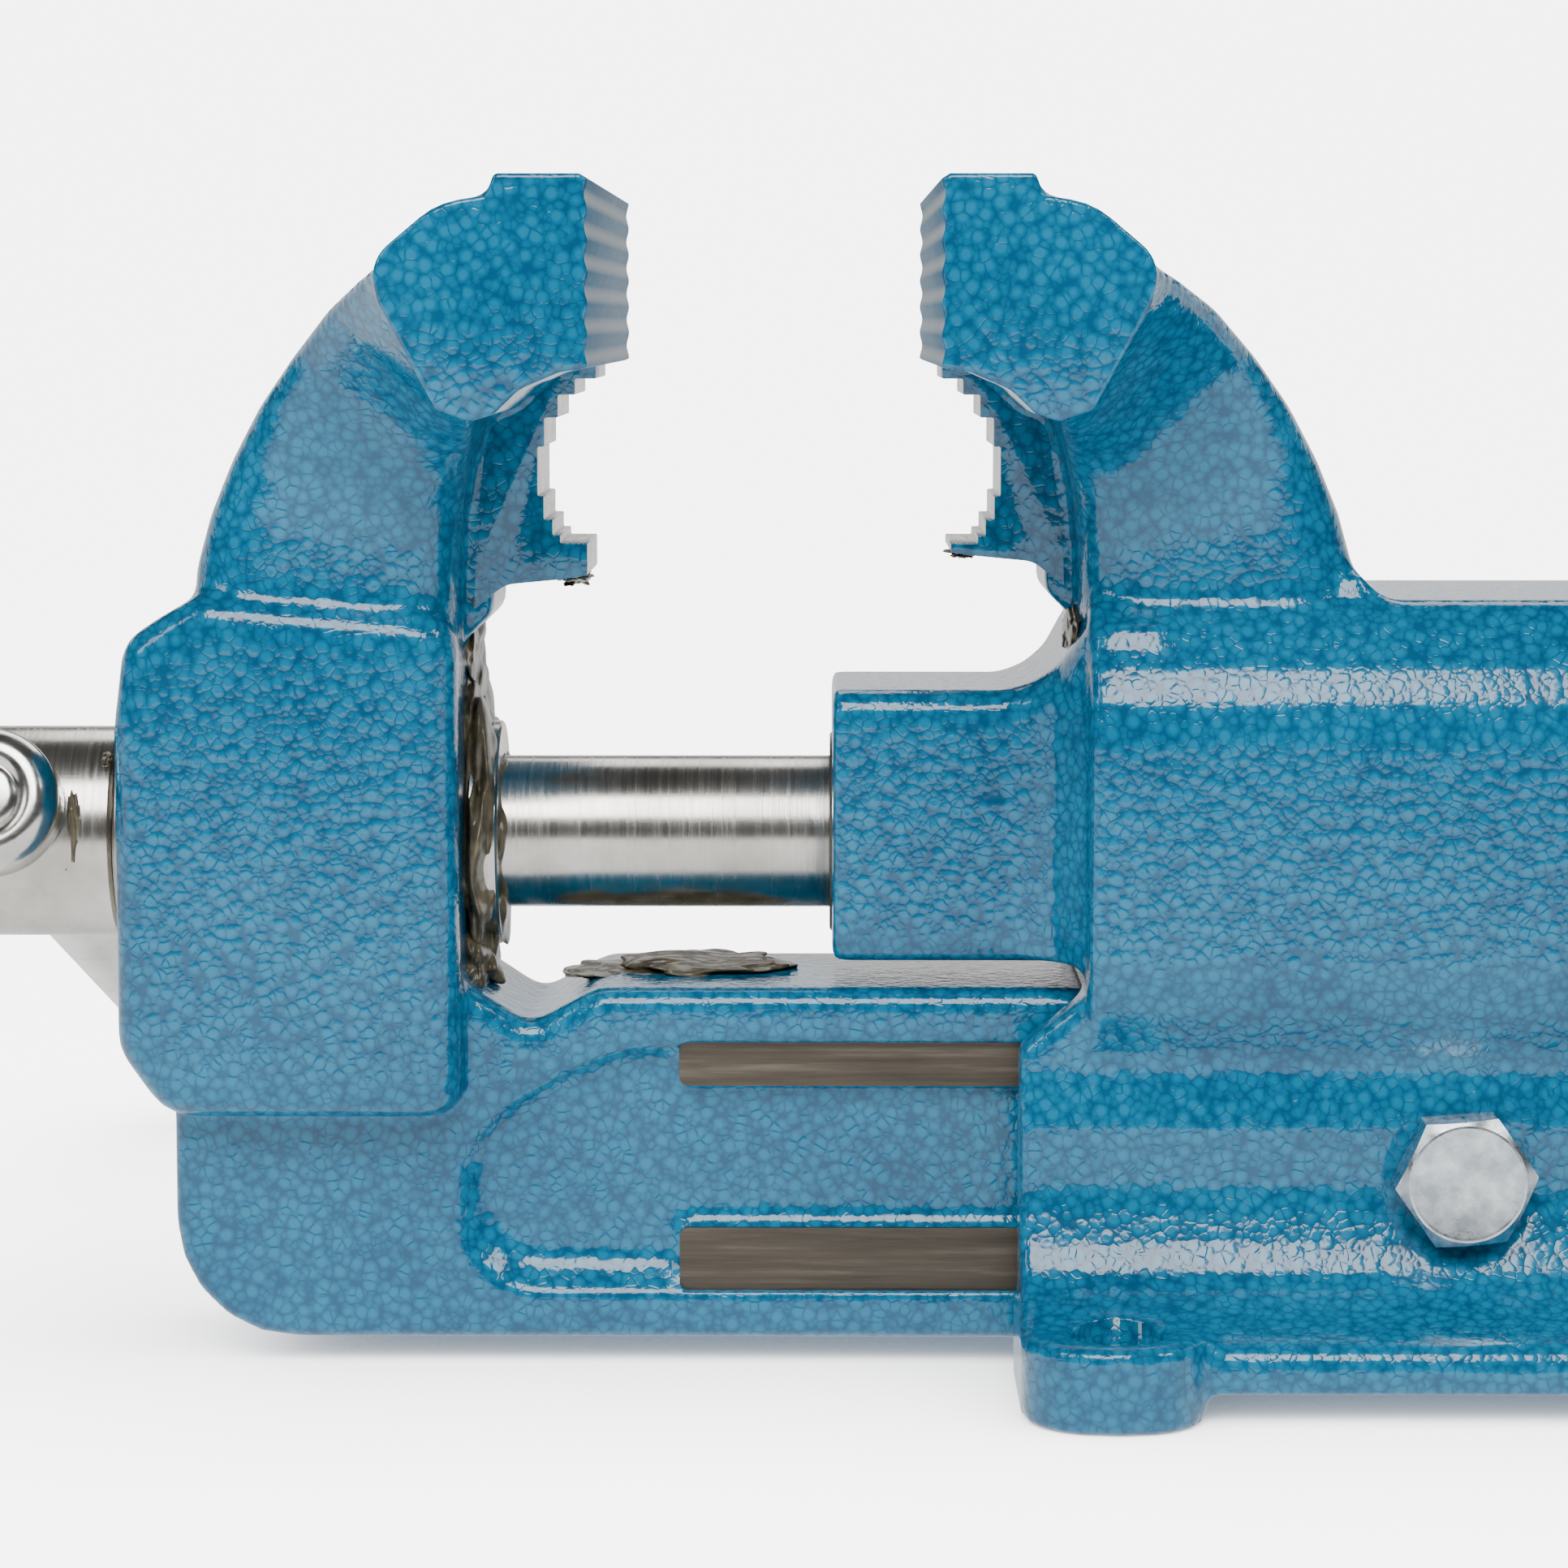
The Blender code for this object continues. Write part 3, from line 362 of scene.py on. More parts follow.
def evaluated_bmesh(obj):
    """The object's mesh with its modifiers, as a bmesh; the object is removed."""
    bpy.context.view_layer.update()
    depsgraph = bpy.context.evaluated_depsgraph_get()
    mesh = bpy.data.meshes.new_from_object(obj.evaluated_get(depsgraph))
    bm = bmesh.new()
    bm.from_mesh(mesh)
    bpy.data.objects.remove(obj, do_unlink=True)
    bpy.data.meshes.remove(mesh)
    return bm


def prism(outline, low, high):
    """Outline in XZ, extruded along Y."""
    bm = bmesh.new()
    near = [bm.verts.new((x, low, z)) for x, z in outline]
    face = bm.faces.new(near)
    far = bmesh.ops.extrude_face_region(bm, geom=[face])
    verts = [item for item in far["geom"] if isinstance(item, bmesh.types.BMVert)]
    bmesh.ops.translate(bm, vec=(0, high - low, 0), verts=verts)
    bmesh.ops.recalc_face_normals(bm, faces=bm.faces[:])
    return bm


def rounded(points, step=9.0):
    """Outline from (u, v) or (u, v, radius) points, with each radius drawn as an arc."""
    outline = []
    for index, point in enumerate(points):
        corner = Vector(point[:2])
        radius = point[2] if len(point) > 2 else 0.0
        if radius == 0.0:
            outline.append(corner)
            continue
        before = (Vector(points[index - 1][:2]) - corner).normalized()
        after = (Vector(points[(index + 1) % len(points)][:2]) - corner).normalized()
        half = before.angle(after) / 2
        centre = corner + (before + after).normalized() * radius / math.sin(half)
        start = corner + before * radius / math.tan(half) - centre
        sweep = start.angle_signed(corner + after * radius / math.tan(half) - centre)
        steps = max(1, round(abs(math.degrees(sweep)) / step))
        outline += [centre + Matrix.Rotation(-sweep * k / steps, 2) @ start for k in range(steps + 1)]
    return outline


def bevelled(bm, width, segments, angle=30):
    sharp = [edge for edge in bm.edges if edge.is_manifold and edge.calc_face_angle(0) > math.radians(angle)]
    bmesh.ops.bevel(bm, geom=sharp, offset=width, segments=segments, profile=0.5, affect='EDGES',
                    clamp_overlap=True)
    return bm


def turned_bmesh(profile, sides=96, closed=True):
    """Rings round the X axis through (x, radius) points. A radius of 0 is a pole."""
    bm = bmesh.new()
    rings = []
    for x, radius in profile:
        if radius == 0:
            rings.append([bm.verts.new((x, 0, 0))])
            continue
        rings.append([bm.verts.new((x, radius * math.cos(2 * math.pi * k / sides),
                                    radius * math.sin(2 * math.pi * k / sides))) for k in range(sides)])
    pairs = list(zip(rings, rings[1:]))
    if closed:
        pairs.append((rings[-1], rings[0]))
    for first, second in pairs:
        for k in range(sides):
            n = (k + 1) % sides
            corners = [first[k % len(first)], first[n % len(first)], second[n % len(second)], second[k % len(second)]]
            face = list(dict.fromkeys(corners))
            if len(face) > 2:
                bm.faces.new(face)
    return bm


def turned(name, profile, material, centre=(0, 0, 0), turn=None, closed=True, sides=96):
    bm = turned_bmesh(profile, sides, closed)
    place = Matrix.Translation(centre) @ (turn or Matrix.Identity(4))
    bmesh.ops.transform(bm, matrix=place, verts=bm.verts[:])
    return piece(name, bm, material)


def temporary(bm):
    mesh = bpy.data.meshes.new("temporary")
    bm.to_mesh(mesh)
    bm.free()
    obj = bpy.data.objects.new("temporary", mesh)
    bpy.context.scene.collection.objects.link(obj)
    return obj


def cut_by(obj, cutters, solver='EXACT'):
    for cutter in cutters:
        modifier = obj.modifiers.new("cut", 'BOOLEAN')
        modifier.operation = 'DIFFERENCE'
        modifier.solver = solver
        modifier.object = cutter
    return obj


def block(low, high):
    bm = bmesh.new()
    bmesh.ops.create_cube(bm, size=1.0)
    centre = (Vector(low) + Vector(high)) / 2
    bmesh.ops.scale(bm, vec=Vector(high) - Vector(low), verts=bm.verts[:])
    bmesh.ops.translate(bm, vec=centre, verts=bm.verts[:])
    return bm


# ---------------------------------------------------------------- forgings

def softened_forging(name, node, body, cutters, machined):
    """The node's shape with die-forged edges: cut back where crisp pieces sit, remeshed and smoothed.

    The machined rooms are cut last, so that their edges stay crisp.
    """
    bm = bmesh.new()
    bm.from_mesh(frame["nodes"][node].data)
    bmesh.ops.remove_doubles(bm, verts=bm.verts[:], dist=0.005 * MM)
    raw = temporary(bm)
    cutting = [temporary(cutter) for cutter in cutters]
    cut_by(raw, cutting)
    remesh = raw.modifiers.new("remesh", 'REMESH')
    remesh.mode = 'VOXEL'
    remesh.voxel_size = VOXEL
    smooth = raw.modifiers.new("smooth", 'SMOOTH')
    smooth.factor = 0.5
    smooth.iterations = SOFTENING
    tools = [temporary(room) for room in machined]
    cut_by(raw, tools, solver='MANIFOLD')
    forged = evaluated_bmesh(raw)
    for cutter in cutting + tools:
        bpy.data.objects.remove(cutter, do_unlink=True)
    obj = piece(name, forged, ENAMEL, smooth_below=75)
    return stand_for(obj, body, "hammered_enamel", node)


def jaw_frame(side):
    """Takes points measured back from a gripping face, at bench height, to the world: side 1 fixed, -1 moving."""
    face = 0.0 if side > 0 else MOVING_FACE
    return lambda x, z: (face + side * x, BENCH + z)


def block_outline(side):
    """Side outline of a jaw block, its gripping face drawn as a run of shallow waves."""
    to_world = jaw_frame(side)
    top = JAW_TOP - BENCH
    shoulder = top - 2.6 * MM
    foot = top - FACE_HEIGHT
    back = rounded([(0.001, top), (11.3 * MM, top, 0.8 * MM), (12.3 * MM, shoulder, 1 * MM),
                    (18.3 * MM, shoulder - 1 * MM, 10 * MM), (26.5 * MM, top - 10.5 * MM, 5 * MM),
                    (25.5 * MM, top - 15.5 * MM, 4 * MM), (18.5 * MM, top - 28.5 * MM, 1.5 * MM),
                    (14.5 * MM, top - 29.9 * MM, 2 * MM), (11.5 * MM, top - 29.0 * MM, 2 * MM),
                    (8.4 * MM, top - 26.0 * MM, 4 * MM), (3.5 * MM, top - 23.9 * MM, 3 * MM),
                    (0.6 * MM, foot - 0.3 * MM)])
    waves = []
    count = GROOVES * 8
    for k in range(count + 1):
        share = k / count
        depth = GROOVE_DEPTH * (1 - math.cos(2 * math.pi * GROOVES * share)) / 2
        waves.append((depth + 0.02 * MM, foot + (top - foot - 0.6 * MM) * share))
    return [to_world(x, z) for x, z in waves + back]


def jaw_block(name, side, body):
    """Crisp block over the smoothed one, wavy where it grips."""
    half = HALF_WIDTH + PROUD
    bm = prism(block_outline(side), -half, half)
    # Cut across the middle first: an edge that runs the jaw's whole width then has a point there, and stays crisp
    bmesh.ops.bisect_plane(bm, geom=bm.verts[:] + bm.edges[:] + bm.faces[:], plane_co=(0, 0, 0),
                           plane_no=(0, 1, 0))
    sharp = [edge for edge in bm.edges if edge.calc_face_angle(0) > math.radians(60)
             and all(abs(abs(vert.co.y) - half) < 0.001 * MM for vert in edge.verts)]
    bmesh.ops.bevel(bm, geom=sharp, offset=0.55 * MM, segments=3, profile=0.5, affect='EDGES', clamp_overlap=True)
    grip_x, _ = jaw_frame(side)(GROOVE_DEPTH + 0.2 * MM, 0)
    for face in bm.faces:
        middle = face.calc_center_median()
        if abs(face.normal.y) < 0.5 and (middle.x - grip_x) * side < 0 and middle.z < JAW_TOP - 0.3 * MM:
            face.material_index = 1
    obj = piece(name, bm, ENAMEL, smooth_below=30)
    obj.data.materials.append(GRIP)
    return stand_for(obj, body, "hammered_enamel")


def pipe_outline(side, lip):
    to_world = jaw_frame(side)
    height = PIPE_Z - BENCH
    steps = [68, 54, 42, 28, 12.5, -12.5, -25, -34, -39, -72]

    def wall(upper, lower):
        return PIPE_RADIUS * math.cos(math.radians((upper + lower) / 2)) - PIPE_OFFSET

    points = [(22 * MM, 143 * MM), (wall(*steps[:2]), 143 * MM)]
    for above, angle, below in zip(steps, steps[1:], steps[2:]):
        z = height + PIPE_RADIUS * math.sin(math.radians(angle))
        points += [(wall(above, angle), z), (wall(angle, below), z)]
    x, z = points[-1]
    tip = z - lip
    tail = rounded([(x, tip), (x + 2.5 * MM, tip - 0.4 * MM, 1.5 * MM), (13.5 * MM, tip - 1.2 * MM, 4 * MM),
                    (19.3 * MM, tip - 6 * MM, 6 * MM), (20.5 * MM, tip - 14 * MM), (24 * MM, tip - 14 * MM)])
    return [to_world(x, z) for x, z in points + tail]


def pipe_jaw(name, side, body, lip):
    """Web under the block: enamelled sides, bare stepped teeth."""
    half = WEB_HALF + PROUD
    bm = prism(pipe_outline(side, lip), -half, half)
    bmesh.ops.recalc_face_normals(bm, faces=bm.faces[:])
    centre = Vector(jaw_frame(side)(-PIPE_OFFSET, PIPE_Z - BENCH))
    lowest = PIPE_Z - PIPE_RADIUS - lip
    for face in bm.faces:
        middle = face.calc_center_median()
        away = (Vector((middle.x, middle.z)) - centre).length
        if abs(face.normal.y) < 0.5 and away < PIPE_RADIUS * 1.12 and middle.z > lowest:
            face.material_index = 1
    bevelled(bm, 0.18 * MM, 2, angle=50)
    obj = piece(name, bm, ENAMEL, smooth_below=30)
    obj.data.materials.append(TOOTH)
    return stand_for(obj, body, "hammered_enamel")


def face_cutter(side):
    to_world = jaw_frame(side)
    x0, _ = to_world(-5 * MM, 0)
    x1, _ = to_world(1.2 * MM, 0)
    low = (min(x0, x1), -HALF_WIDTH - 0.01, JAW_TOP - FACE_HEIGHT - 0.3 * MM)
    high = (max(x0, x1), HALF_WIDTH + 0.01, JAW_TOP + 0.01)
    return block(low, high)


def teeth_cutter(side):
    x, z = jaw_frame(side)(-PIPE_OFFSET, PIPE_Z - BENCH)
    outline = [(x + (PIPE_RADIUS + 2.2 * MM) * math.cos(2 * math.pi * k / 48),
                z + (PIPE_RADIUS + 2.2 * MM) * math.sin(2 * math.pi * k / 48)) for k in range(48)]
    return prism(outline, -WEB_HALF - 1 * MM, WEB_HALF + 1 * MM)


def lip_cutter(side):
    ends = sorted((jaw_frame(side)(-5 * MM, 0)[0], jaw_frame(side)(15 * MM, 0)[0]))
    return block((ends[0], -WEB_HALF - 1 * MM, PIPE_Z - 22 * MM), (ends[1], WEB_HALF + 1 * MM, PIPE_Z + 6 * MM))


def forgings():
    for name, body, side, machined in (("fixed", "fixed_body", 1, lug_drills()),
                                       ("moving", "moving_jaw", -1, strip_rooms())):
        softened_forging(f"{name}_jaw_forging", f"{name}_jaw_body", body,
                         [face_cutter(side), teeth_cutter(side), lip_cutter(side)], machined)
    jaw_block("fixed_jaw_block", 1, "fixed_body")
    jaw_block("moving_jaw_block", -1, "moving_jaw")
    pipe_jaw("fixed_pipe_jaw", 1, "fixed_body", 1.2 * MM)
    pipe_jaw("moving_pipe_jaw", -1, "moving_jaw", 4.3 * MM)


def strip_outline(low, high, end):
    return rounded([(STRIP_START, BENCH + low, 1.2 * MM), (end, BENCH + low), (end, BENCH + high),
                    (STRIP_START, BENCH + high, 1.2 * MM)])


def strip_rooms():
    """The milling cutter's way along the slide's sides."""
    rooms = []
    for side in (-1, 1):
        for _, low, high in STRIPS:
            inner, outer = sorted((side * STRIP_HALF, side * 25 * MM))
            rooms.append(prism(strip_outline(low, high, MOVING[1][0] + 5 * MM), inner, outer))
    return rooms


def lug_drills():
    """Drilled holes in the lugs, their top edges clean."""
    drills = []
    for x in LUG_X:
        for y in (-LUG_Y, LUG_Y):
            bm = bmesh.new()
            bmesh.ops.create_cone(bm, cap_ends=True, segments=64, radius1=LUG_HOLE_RADIUS,
                                  radius2=LUG_HOLE_RADIUS, depth=30 * MM)
            bmesh.ops.translate(bm, vec=(x, y, BENCH + 6 * MM), verts=bm.verts[:])
            drills.append(bm)
    return drills


def strips():
    """Bare milled strips in the slide's sides, with the cutter's round start."""
    for side, name in ((-1, "near"), (1, "far")):
        for level, low, high in STRIPS:
            inner, outer = sorted((side * 16.0 * MM, side * (STRIP_HALF + 0.06 * MM)))
            bm = prism(strip_outline(low, high, MOVING[1][0] - 1 * MM), inner, outer)
            stand_for(piece(f"{level}_milled_strip_{name}", bm, STRIP, 30), "moving_jaw", "ground_steel")


# ---------------------------------------------------------------- spindle and handle

AXIS = (0, 0, AXIS_Z)
HEAD_END = WASHER[0][0] - 0.3 * MM
HEAD_START = SPINDLE[0][0]
BAR_X = (HEAD_START + HEAD_END) / 2
BAR_PLACE = (Matrix.Translation((BAR_X, 0, AXIS_Z))
             @ Matrix(((0, 0, 1, 0), (math.cos(BAR_TILT), math.sin(BAR_TILT), 0, 0),
                       (-math.sin(BAR_TILT), math.cos(BAR_TILT), 0, 0), (0, 0, 0, 1))))


def thread_radius(x, angle):
    """Trapezoidal thread of two starts: flat crests and roots with sloping flanks between."""
    lead = THREAD_PITCH * THREAD_STARTS
    phase = ((x - THREAD_START) / THREAD_PITCH - THREAD_STARTS * angle / (2 * math.pi)) % 1.0
    rise = min(max((abs(phase - 0.5) - (0.25 - FLANK_SHARE / 2)) / FLANK_SHARE, 0.0), 1.0)
    ease = min((x - THREAD_START) / (lead / 2), (SPINDLE[1][0] - x) / (1.5 * MM), 1.0)
    return CREST_RADIUS - THREAD_DEPTH * rise * max(ease, 0.0)


def screw():
    """Smooth shank, then the thread, drawn ring by ring."""
    sides = 72
    step = 0.32 * MM
    bm = bmesh.new()
    places = [(HEAD_END - 2 * MM, SHANK_RADIUS), (THREAD_START - 1.0 * MM, SHANK_RADIUS),
              (THREAD_START - 0.2 * MM, CREST_RADIUS)]
    count = round((SPINDLE[1][0] - THREAD_START) / step)
    rings = [[(x, radius)] * sides for x, radius in places]
    for k in range(count + 1):
        x = THREAD_START + (SPINDLE[1][0] - 0.4 * MM - THREAD_START) * k / count
        rings.append([(x, thread_radius(x, 2 * math.pi * n / sides)) for n in range(sides)])
    rings.append([(SPINDLE[1][0] - 0.1 * MM, 8.6 * MM)] * sides)
    loops = []
    for ring in rings:
        loops.append([bm.verts.new((x, radius * math.cos(2 * math.pi * n / sides),
                                    AXIS_Z + radius * math.sin(2 * math.pi * n / sides)))
                      for n, (x, radius) in enumerate(ring)])
    for first, second in zip(loops, loops[1:]):
        for n in range(sides):
            m = (n + 1) % sides
            bm.faces.new((first[n], first[m], second[m], second[n]))
    bm.faces.new(loops[0])
    bm.faces.new(loops[-1])
    stand_for(piece("spindle_screw", bm, TURNED, 50), "spindle", "turned_steel", "spindle")


def head():
    """Turned head with a chamfered end, cross-drilled for the bar."""
    edge = 1.2 * MM
    profile = [(HEAD_START, 0), (HEAD_START, 3 * MM), (HEAD_START, HEAD_RADIUS - edge - 0.3 * MM),
               (HEAD_START + 0.1 * MM, HEAD_RADIUS - edge), (HEAD_START + edge, HEAD_RADIUS - 0.1 * MM),
               (HEAD_START + edge + 0.3 * MM, HEAD_RADIUS), (HEAD_END - 0.5 * MM, HEAD_RADIUS),
               (HEAD_END, HEAD_RADIUS - 0.5 * MM), (HEAD_END, 0)]
    bm = turned_bmesh(profile, 128, closed=False)
    bmesh.ops.transform(bm, matrix=Matrix.Translation(AXIS), verts=bm.verts[:])
    bmesh.ops.recalc_face_normals(bm, faces=bm.faces[:])
    raw = temporary(bm)
    hole = turned_bmesh([(-0.03, 0), (-0.03, BAR_RADIUS + 0.3 * MM), (0.03, BAR_RADIUS + 0.3 * MM), (0.03, 0)],
                        64, closed=False)
    bmesh.ops.transform(hole, matrix=BAR_PLACE, verts=hole.verts[:])
    bmesh.ops.recalc_face_normals(hole, faces=hole.faces[:])
    cutter = temporary(hole)
    cut_by(raw, [cutter])
    drilled = evaluated_bmesh(raw)
    bpy.data.objects.remove(cutter, do_unlink=True)
    stand_for(piece("spindle_head", drilled, TURNED, 35), "spindle", "turned_steel")


def handle():
    """Bar with its caps; each cap has a dished face with a rim, and the bar's riveted end shows in it."""
    near = -HEAD_RADIUS - 0.6 * MM - CAP_LENGTH
    far = near + BAR_LENGTH
    bar = turned("cross_bar", [(near + CAP_LENGTH, 0), (near + CAP_LENGTH, BAR_RADIUS - 0.3 * MM),
                               (near + CAP_LENGTH + 0.3 * MM, BAR_RADIUS),
                               (far - CAP_LENGTH - 0.3 * MM, BAR_RADIUS),
                               (far - CAP_LENGTH, BAR_RADIUS - 0.3 * MM), (far - CAP_LENGTH, 0)],
                 POLISHED, turn=BAR_PLACE, closed=False, sides=64)
    stand_for(bar, "handle", "drawn_steel", "handle_bar")
    for name, outside, inward in (("near", near, 1), ("far", far, -1)):
        def at(distance):
            return outside + inward * distance * MM
        profile = [(at(0.25), 0), (at(0.15), 3.2 * MM), (at(0.35), 4.2 * MM), (at(0.75), 4.6 * MM),
                   (at(0.55), 5.0 * MM), (at(0.12), 5.5 * MM), (at(0.0), 6.4 * MM), (at(0.1), 7.3 * MM),
                   (at(0.5), 8.0 * MM), (at(1.5), 9.0 * MM), (at(2.4), 9.5 * MM), (at(3.2), CAP_RADIUS),
                   (at(7.4), CAP_RADIUS), (at(8.2), 9.2 * MM), (at(8.5), 8.6 * MM), (at(8.5), 0)]
        cap = turned(f"cap_{name}", profile, POLISHED, turn=BAR_PLACE, closed=False)
        stand_for(cap, "handle", "polished_steel", f"handle_cap_{name}")


def small_turned_pieces():
    """Washer, collar, wiper ring: the nodes' own sizes, with finer edges."""
    edge = 0.3 * MM
    for name, node, body, box, material, slot in (
            ("thrust_washer_disc", "thrust_washer", "spindle", WASHER, GROUND, "ground_steel"),
            ("collar_ring", "spindle_collar", "spindle", COLLAR, TURNED, "turned_steel"),
            ("wiper_ring", "tube_wiper_ring", "fixed_body", WIPER, GROUND, "ground_steel")):
        low, high = box[0][0], box[1][0]
        outer = (box[1][1] - box[0][1]) / 2
        obj = turned(name, [(low, BORE_RADIUS), (low, outer - edge), (low + edge, outer), (high - edge, outer),
                            (high, outer - edge), (high, BORE_RADIUS)], material, centre=AXIS)
        stand_for(obj, body, slot, node)


def bolts():
    """Cold-headed hexagon: a flat washer-like crown, chamfered all round to where the corners are cut."""
    for side, name in ((-1, "near"), (1, "far")):
        low, high = BOLT[name]
        centre_x, centre_z = (low[0] + high[0]) / 2, (low[2] + high[2]) / 2
        seat = side * BOLT_SEAT
        crown = low[1] if side < 0 else high[1]
        corner = BOLT_FLATS / 2 / math.cos(math.pi / 6)
        hexagon = [(centre_x + corner * math.cos(math.radians(60 * k + BOLT_TURN)),
                    centre_z + corner * math.sin(math.radians(60 * k + BOLT_TURN))) for k in range(6)]
        bm = prism(hexagon, *sorted((seat, crown)))
        bevelled(bm, 0.12 * MM, 2)
        raw = temporary(bm)
        cone = turned_bmesh([(-1 * MM, 0), (-1 * MM, 9.6 * MM), (5.0 * MM, 9.6 * MM), (6.4 * MM, 7.6 * MM),
                             (6.45 * MM, 7.3 * MM), (6.36 * MM, 6.9 * MM), (6.36 * MM, 0)], 96, closed=False)
        turn = Matrix.Rotation(-math.pi / 2 if side < 0 else math.pi / 2, 4, 'Z')
        bmesh.ops.transform(cone, matrix=Matrix.Translation((centre_x, seat, centre_z)) @ turn, verts=cone.verts[:])
        bmesh.ops.recalc_face_normals(cone, faces=cone.faces[:])
        shape = temporary(cone)
        modifier = raw.modifiers.new("chamfer", 'BOOLEAN')
        modifier.operation = 'INTERSECT'
        modifier.object = shape
        headed = evaluated_bmesh(raw)
        bpy.data.objects.remove(shape, do_unlink=True)
        stand_for(piece(f"hex_bolt_{name}", headed, ZINC, 20), "fixed_body", "zinc_plate", f"side_bolt_{name}")


# ---------------------------------------------------------------- grease

def smear(name, body, place, size, seed, ragged=0.5):
    """A lump of grease: a ball squashed to size, swollen in soft folds, with a few drawn-out tips."""
    bm = bmesh.new()
    bmesh.ops.create_icosphere(bm, subdivisions=6, radius=1.0)
    shift = Vector((seed * 7.3, seed * 3.1, seed * 1.7))
    for vert in bm.verts:
        direction = vert.co.normalized()
        swell = noise.fractal(direction * 1.3 + shift, 1.0, 2.0, 2) * 0.30
        fold = noise.noise(direction * 3.2 + shift) * 0.12
        tip = max(noise.noise(direction * 2.6 - shift) - 0.25, 0.0) ** 1.5 * ragged * 2.4
        vert.co = direction * (1.0 + swell + fold + tip)
    bmesh.ops.scale(bm, vec=size, verts=bm.verts[:])
    bmesh.ops.translate(bm, vec=place, verts=bm.verts[:])
    return stand_for(piece(name, bm, GREASE, 80), body, "ground_steel")


def grease_everywhere():
    inner = MOVING_FACE - 19 * MM
    collar = (COLLAR[0][0] + COLLAR[1][0]) / 2
    smear("grease_above_collar", "moving_jaw", (inner, 2 * MM, AXIS_Z + 16 * MM), (2.4 * MM, 15 * MM, 12 * MM), 1)
    smear("grease_high_on_jaw", "moving_jaw", (inner, -3 * MM, AXIS_Z + 27 * MM), (1.7 * MM, 9 * MM, 6 * MM), 7)
    smear("grease_below_collar", "moving_jaw", (inner, 0, AXIS_Z - 17 * MM), (3.2 * MM, 15 * MM, 7 * MM), 2, 0.9)
    smear("grease_on_collar", "spindle", (collar, 0, AXIS_Z), (3.5 * MM, 17.4 * MM, 17.4 * MM), 3, 0.2)
    smear("grease_on_slide", "moving_jaw", (MOVING_FACE + 13 * MM, 3 * MM, SLIDE_TOP),
          (12 * MM, 9 * MM, 1.9 * MM), 4, 0.3)
    smear("grease_on_slide_thin", "moving_jaw", (MOVING_FACE + 1 * MM, 2 * MM, SLIDE_TOP - 0.4 * MM),
          (7 * MM, 8 * MM, 0.9 * MM), 5, 0.2)
    smear("grease_at_head", "spindle", (HEAD_END - 1.0 * MM, -9 * MM, AXIS_Z + 10.5 * MM),
          (0.8 * MM, 2.4 * MM, 1.0 * MM), 6, 0.2)
    smear("grease_on_head", "spindle", (HEAD_END - 5 * MM, -13.2 * MM, AXIS_Z + 1.5 * MM),
          (1.0 * MM, 1.2 * MM, 4.5 * MM), 8, 0.4)
    smear("grease_on_moving_lip", "moving_jaw", (MOVING_FACE - 4.5 * MM, -6 * MM, PIPE_Z - 14.2 * MM),
          (2.2 * MM, 7 * MM, 0.9 * MM), 9, 0.8)
    smear("grease_on_fixed_lip", "fixed_body", (4.5 * MM, -6 * MM, PIPE_Z - 11.0 * MM),
          (1.6 * MM, 6 * MM, 0.7 * MM), 10, 0.8)
    smear("grease_in_fixed_throat", "fixed_body", (18.7 * MM, -12 * MM, BENCH + 97 * MM),
          (1.1 * MM, 8 * MM, 4 * MM), 11, 0.6)


def carried_over_nodes():
    """CAD nodes that keep their own mesh take their real finish."""
    finishes = {"collar_roll_pin": SPRING, "spindle_nut": BRONZE, "nut_key": GROUND, "nut_set_screw": SPRING,
                "nut_retaining_ring": SPRING, "guide_gib_near": GROUND, "guide_gib_far": GROUND,
                "gib_dowel_near": GROUND, "gib_dowel_far": GROUND, "spindle_bush": BRONZE}
    for node, material in finishes.items():
        mesh = frame["nodes"][node].data
        for index in range(len(mesh.materials)):
            mesh.materials[index] = material


# ---------------------------------------------------------------- floor, light, camera

def seen_or_lit(tree, seen, lit):
    """A strength that the camera sees, and another that lights the vise."""
    ray = add(tree, "ShaderNodeLightPath").outputs["Is Camera Ray"]
    strength = add(tree, "ShaderNodeMix", {"data_type": 'FLOAT'}, {0: ray})
    strength.inputs[2].default_value = lit
    if isinstance(seen, bpy.types.NodeSocket):
        tree.links.new(seen, strength.inputs[3])
    else:
        strength.inputs[3].default_value = seen
    return strength.outputs[0]


def paper():
    """Matt white paper that glows where the camera sees it; the glow is dimmed by ambient occlusion near the vise, a
    painted contact shadow.
    """
    material, tree, shader = new_material("paper_with_painted_shadow", Roughness=0.9)
    shader.inputs["Base Color"].default_value = linear("#e4e4e4")
    shader.inputs["Emission Color"].default_value = linear("#ffffff")
    # Painted shadow: the glow that the camera sees fades close to the vise.
    painted_shadow_ao = add(tree, "ShaderNodeAmbientOcclusion", {"samples": 8}, Distance=70 * MM).outputs["AO"]
    painted_contact_shadow = add(tree, "ShaderNodeMapRange", links={"Value": painted_shadow_ao}, To_Min=0.15, To_Max=5.5).outputs[0]
    tree.links.new(seen_or_lit(tree, painted_contact_shadow, 0.75), shader.inputs["Emission Strength"])
    return material


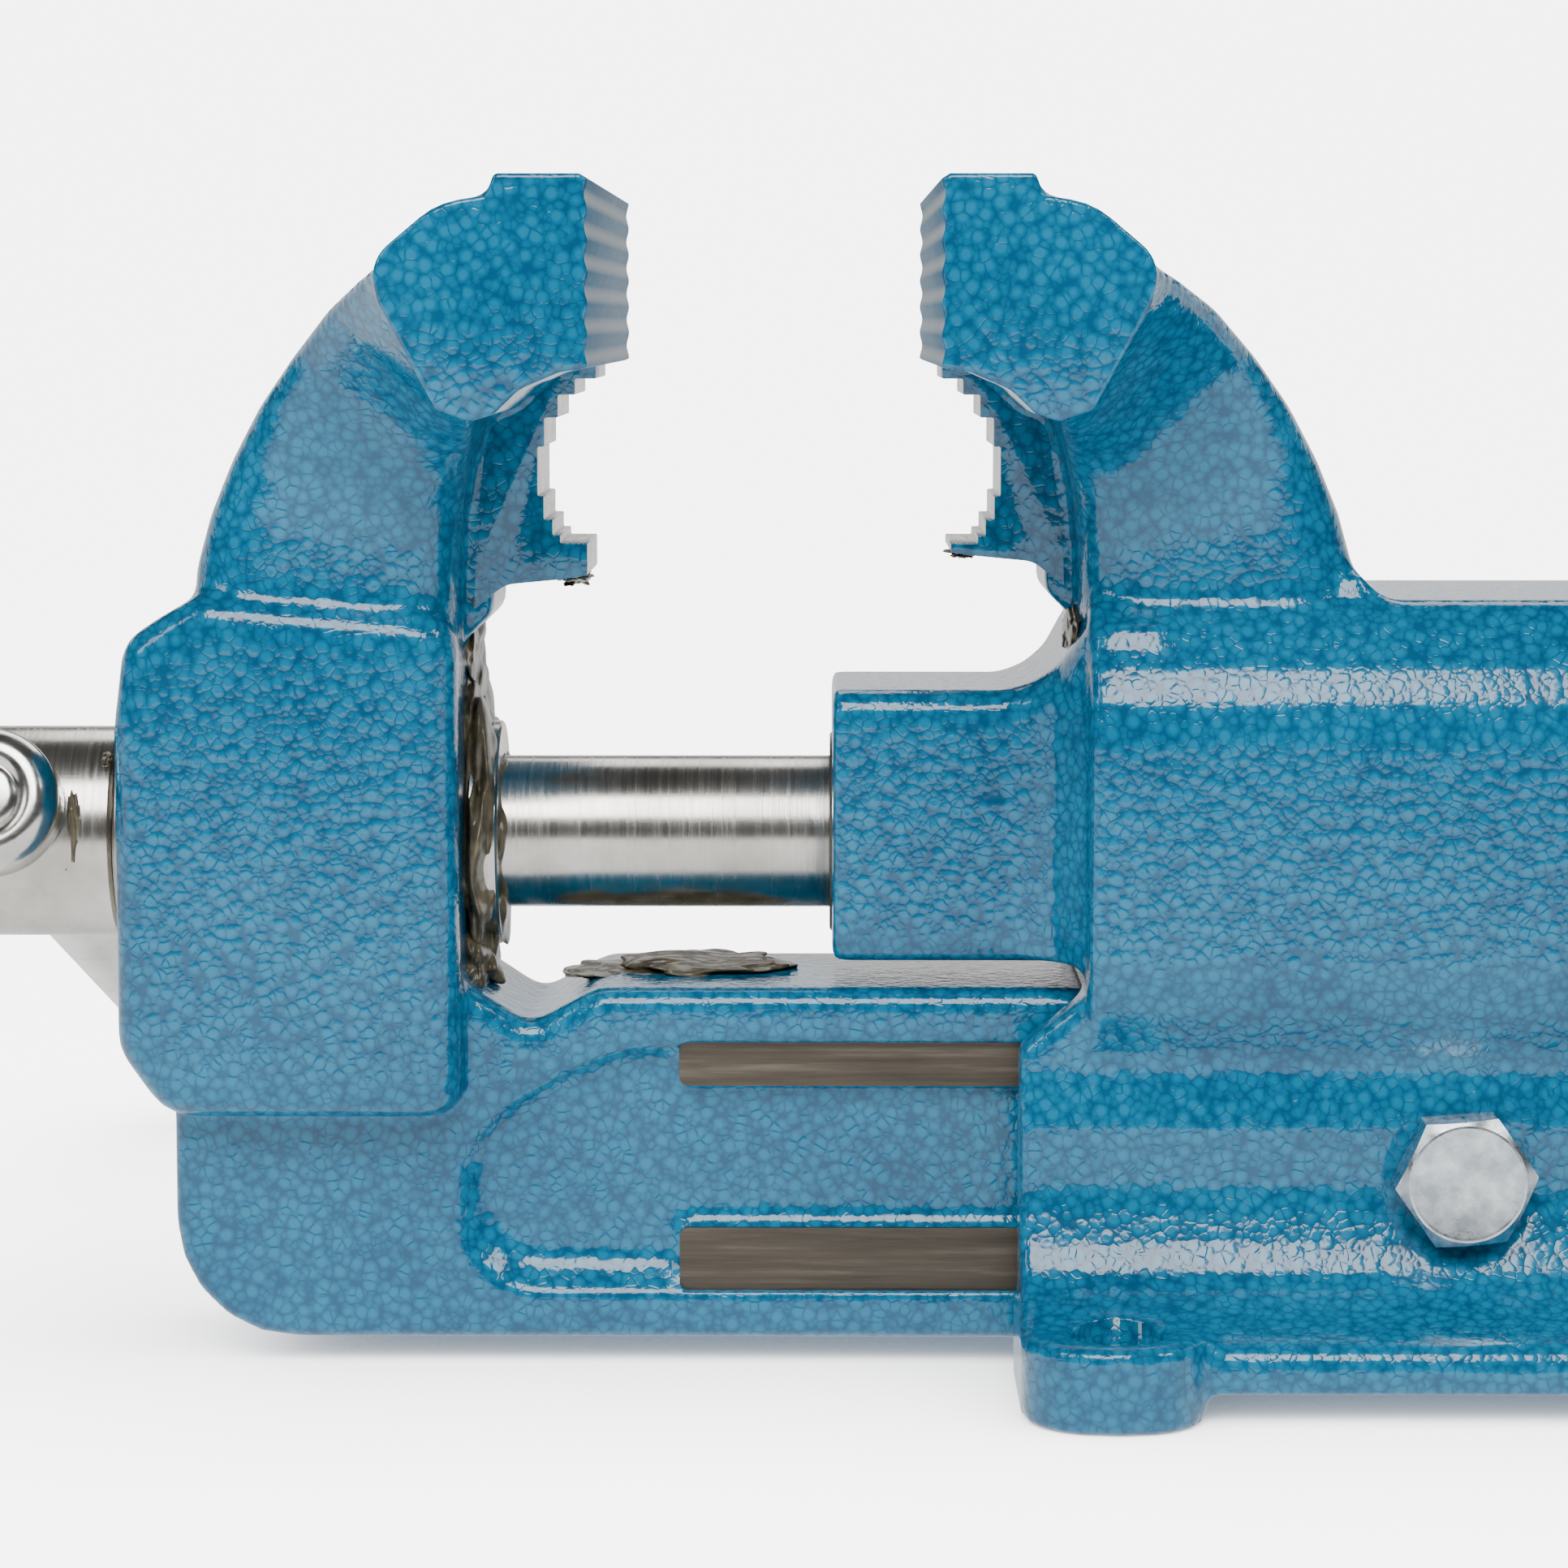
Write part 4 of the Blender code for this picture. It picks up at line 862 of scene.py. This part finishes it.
def studio():
    """White paper sweep in a dim room, a large soft box over the camera, two beside it and one behind."""
    floor_z = cad_box[0][2]
    bm = bmesh.new()
    profile = [(-0.72, 0.0)] + [(1.2 + 0.6 * math.sin(a), 0.6 - 0.6 * math.cos(a))
                               for a in [math.pi / 2 * k / 12 for k in range(13)]]
    rows = [[bm.verts.new((x, y, floor_z + z)) for y, z in profile] for x in (-4.0, 4.0)]
    for k in range(len(profile) - 1):
        bm.faces.new((rows[0][k], rows[1][k], rows[1][k + 1], rows[0][k + 1]))
    piece("sweep", bm, paper(), 60)
    world = bpy.data.worlds.new("studio")
    bpy.context.scene.world = world
    world.use_nodes = True
    background = world.node_tree.nodes["Background"]
    background.inputs["Color"].default_value = (0.97, 0.98, 1, 1)
    world.node_tree.links.new(seen_or_lit(world.node_tree, 7.0, 0.07), background.inputs["Strength"])
    for name, place, target, size, watts in (
            ("softbox_key", (-0.08, -0.92, 0.80), (0, 0, -0.05), (0.7, 0.7), 18.0),
            ("softbox_left", (-1.0, -0.6, 0.7), (0, 0, -0.05), (0.4, 0.6), 4.0),
            ("softbox_right", (0.95, -0.55, 0.9), (0.05, 0, -0.05), (0.4, 0.4), 5.0),
            ("softbox_back", (0.1, 1.0, 0.9), (0, 0, -0.05), (1.2, 0.6), 7.0)):
        light = bpy.data.lights.new(name, 'AREA')
        light.shape = 'RECTANGLE'
        light.size, light.size_y = size
        light.energy = watts
        lamp = bpy.data.objects.new(name, light)
        lamp.location = place
        lamp.rotation_euler = (Vector(target) - Vector(place)).to_track_quat('-Z', 'Y').to_euler()
        bpy.context.scene.collection.objects.link(lamp)


def camera():
    """Long lens at the height of the jaws, tilted a little down."""
    forward = Vector((-math.sin(CAMERA_YAW) * math.cos(CAMERA_PITCH),
                      math.cos(CAMERA_YAW) * math.cos(CAMERA_PITCH), -math.sin(CAMERA_PITCH)))
    right = Vector((math.cos(CAMERA_YAW), math.sin(CAMERA_YAW), 0))
    up = right.cross(forward)
    data = bpy.data.cameras.new("camera")
    data.sensor_width = 36.0
    data.lens = CAMERA_LENS
    cam = bpy.data.objects.new("camera", data)
    cam.rotation_euler = Matrix((right, up, -forward)).transposed().to_euler()
    cam.location = CAMERA_PLACE
    bpy.context.scene.collection.objects.link(cam)
    bpy.context.scene.camera = cam


forgings()
strips()
screw()
head()
handle()
small_turned_pieces()
bolts()
grease_everywhere()
carried_over_nodes()
studio()
camera()
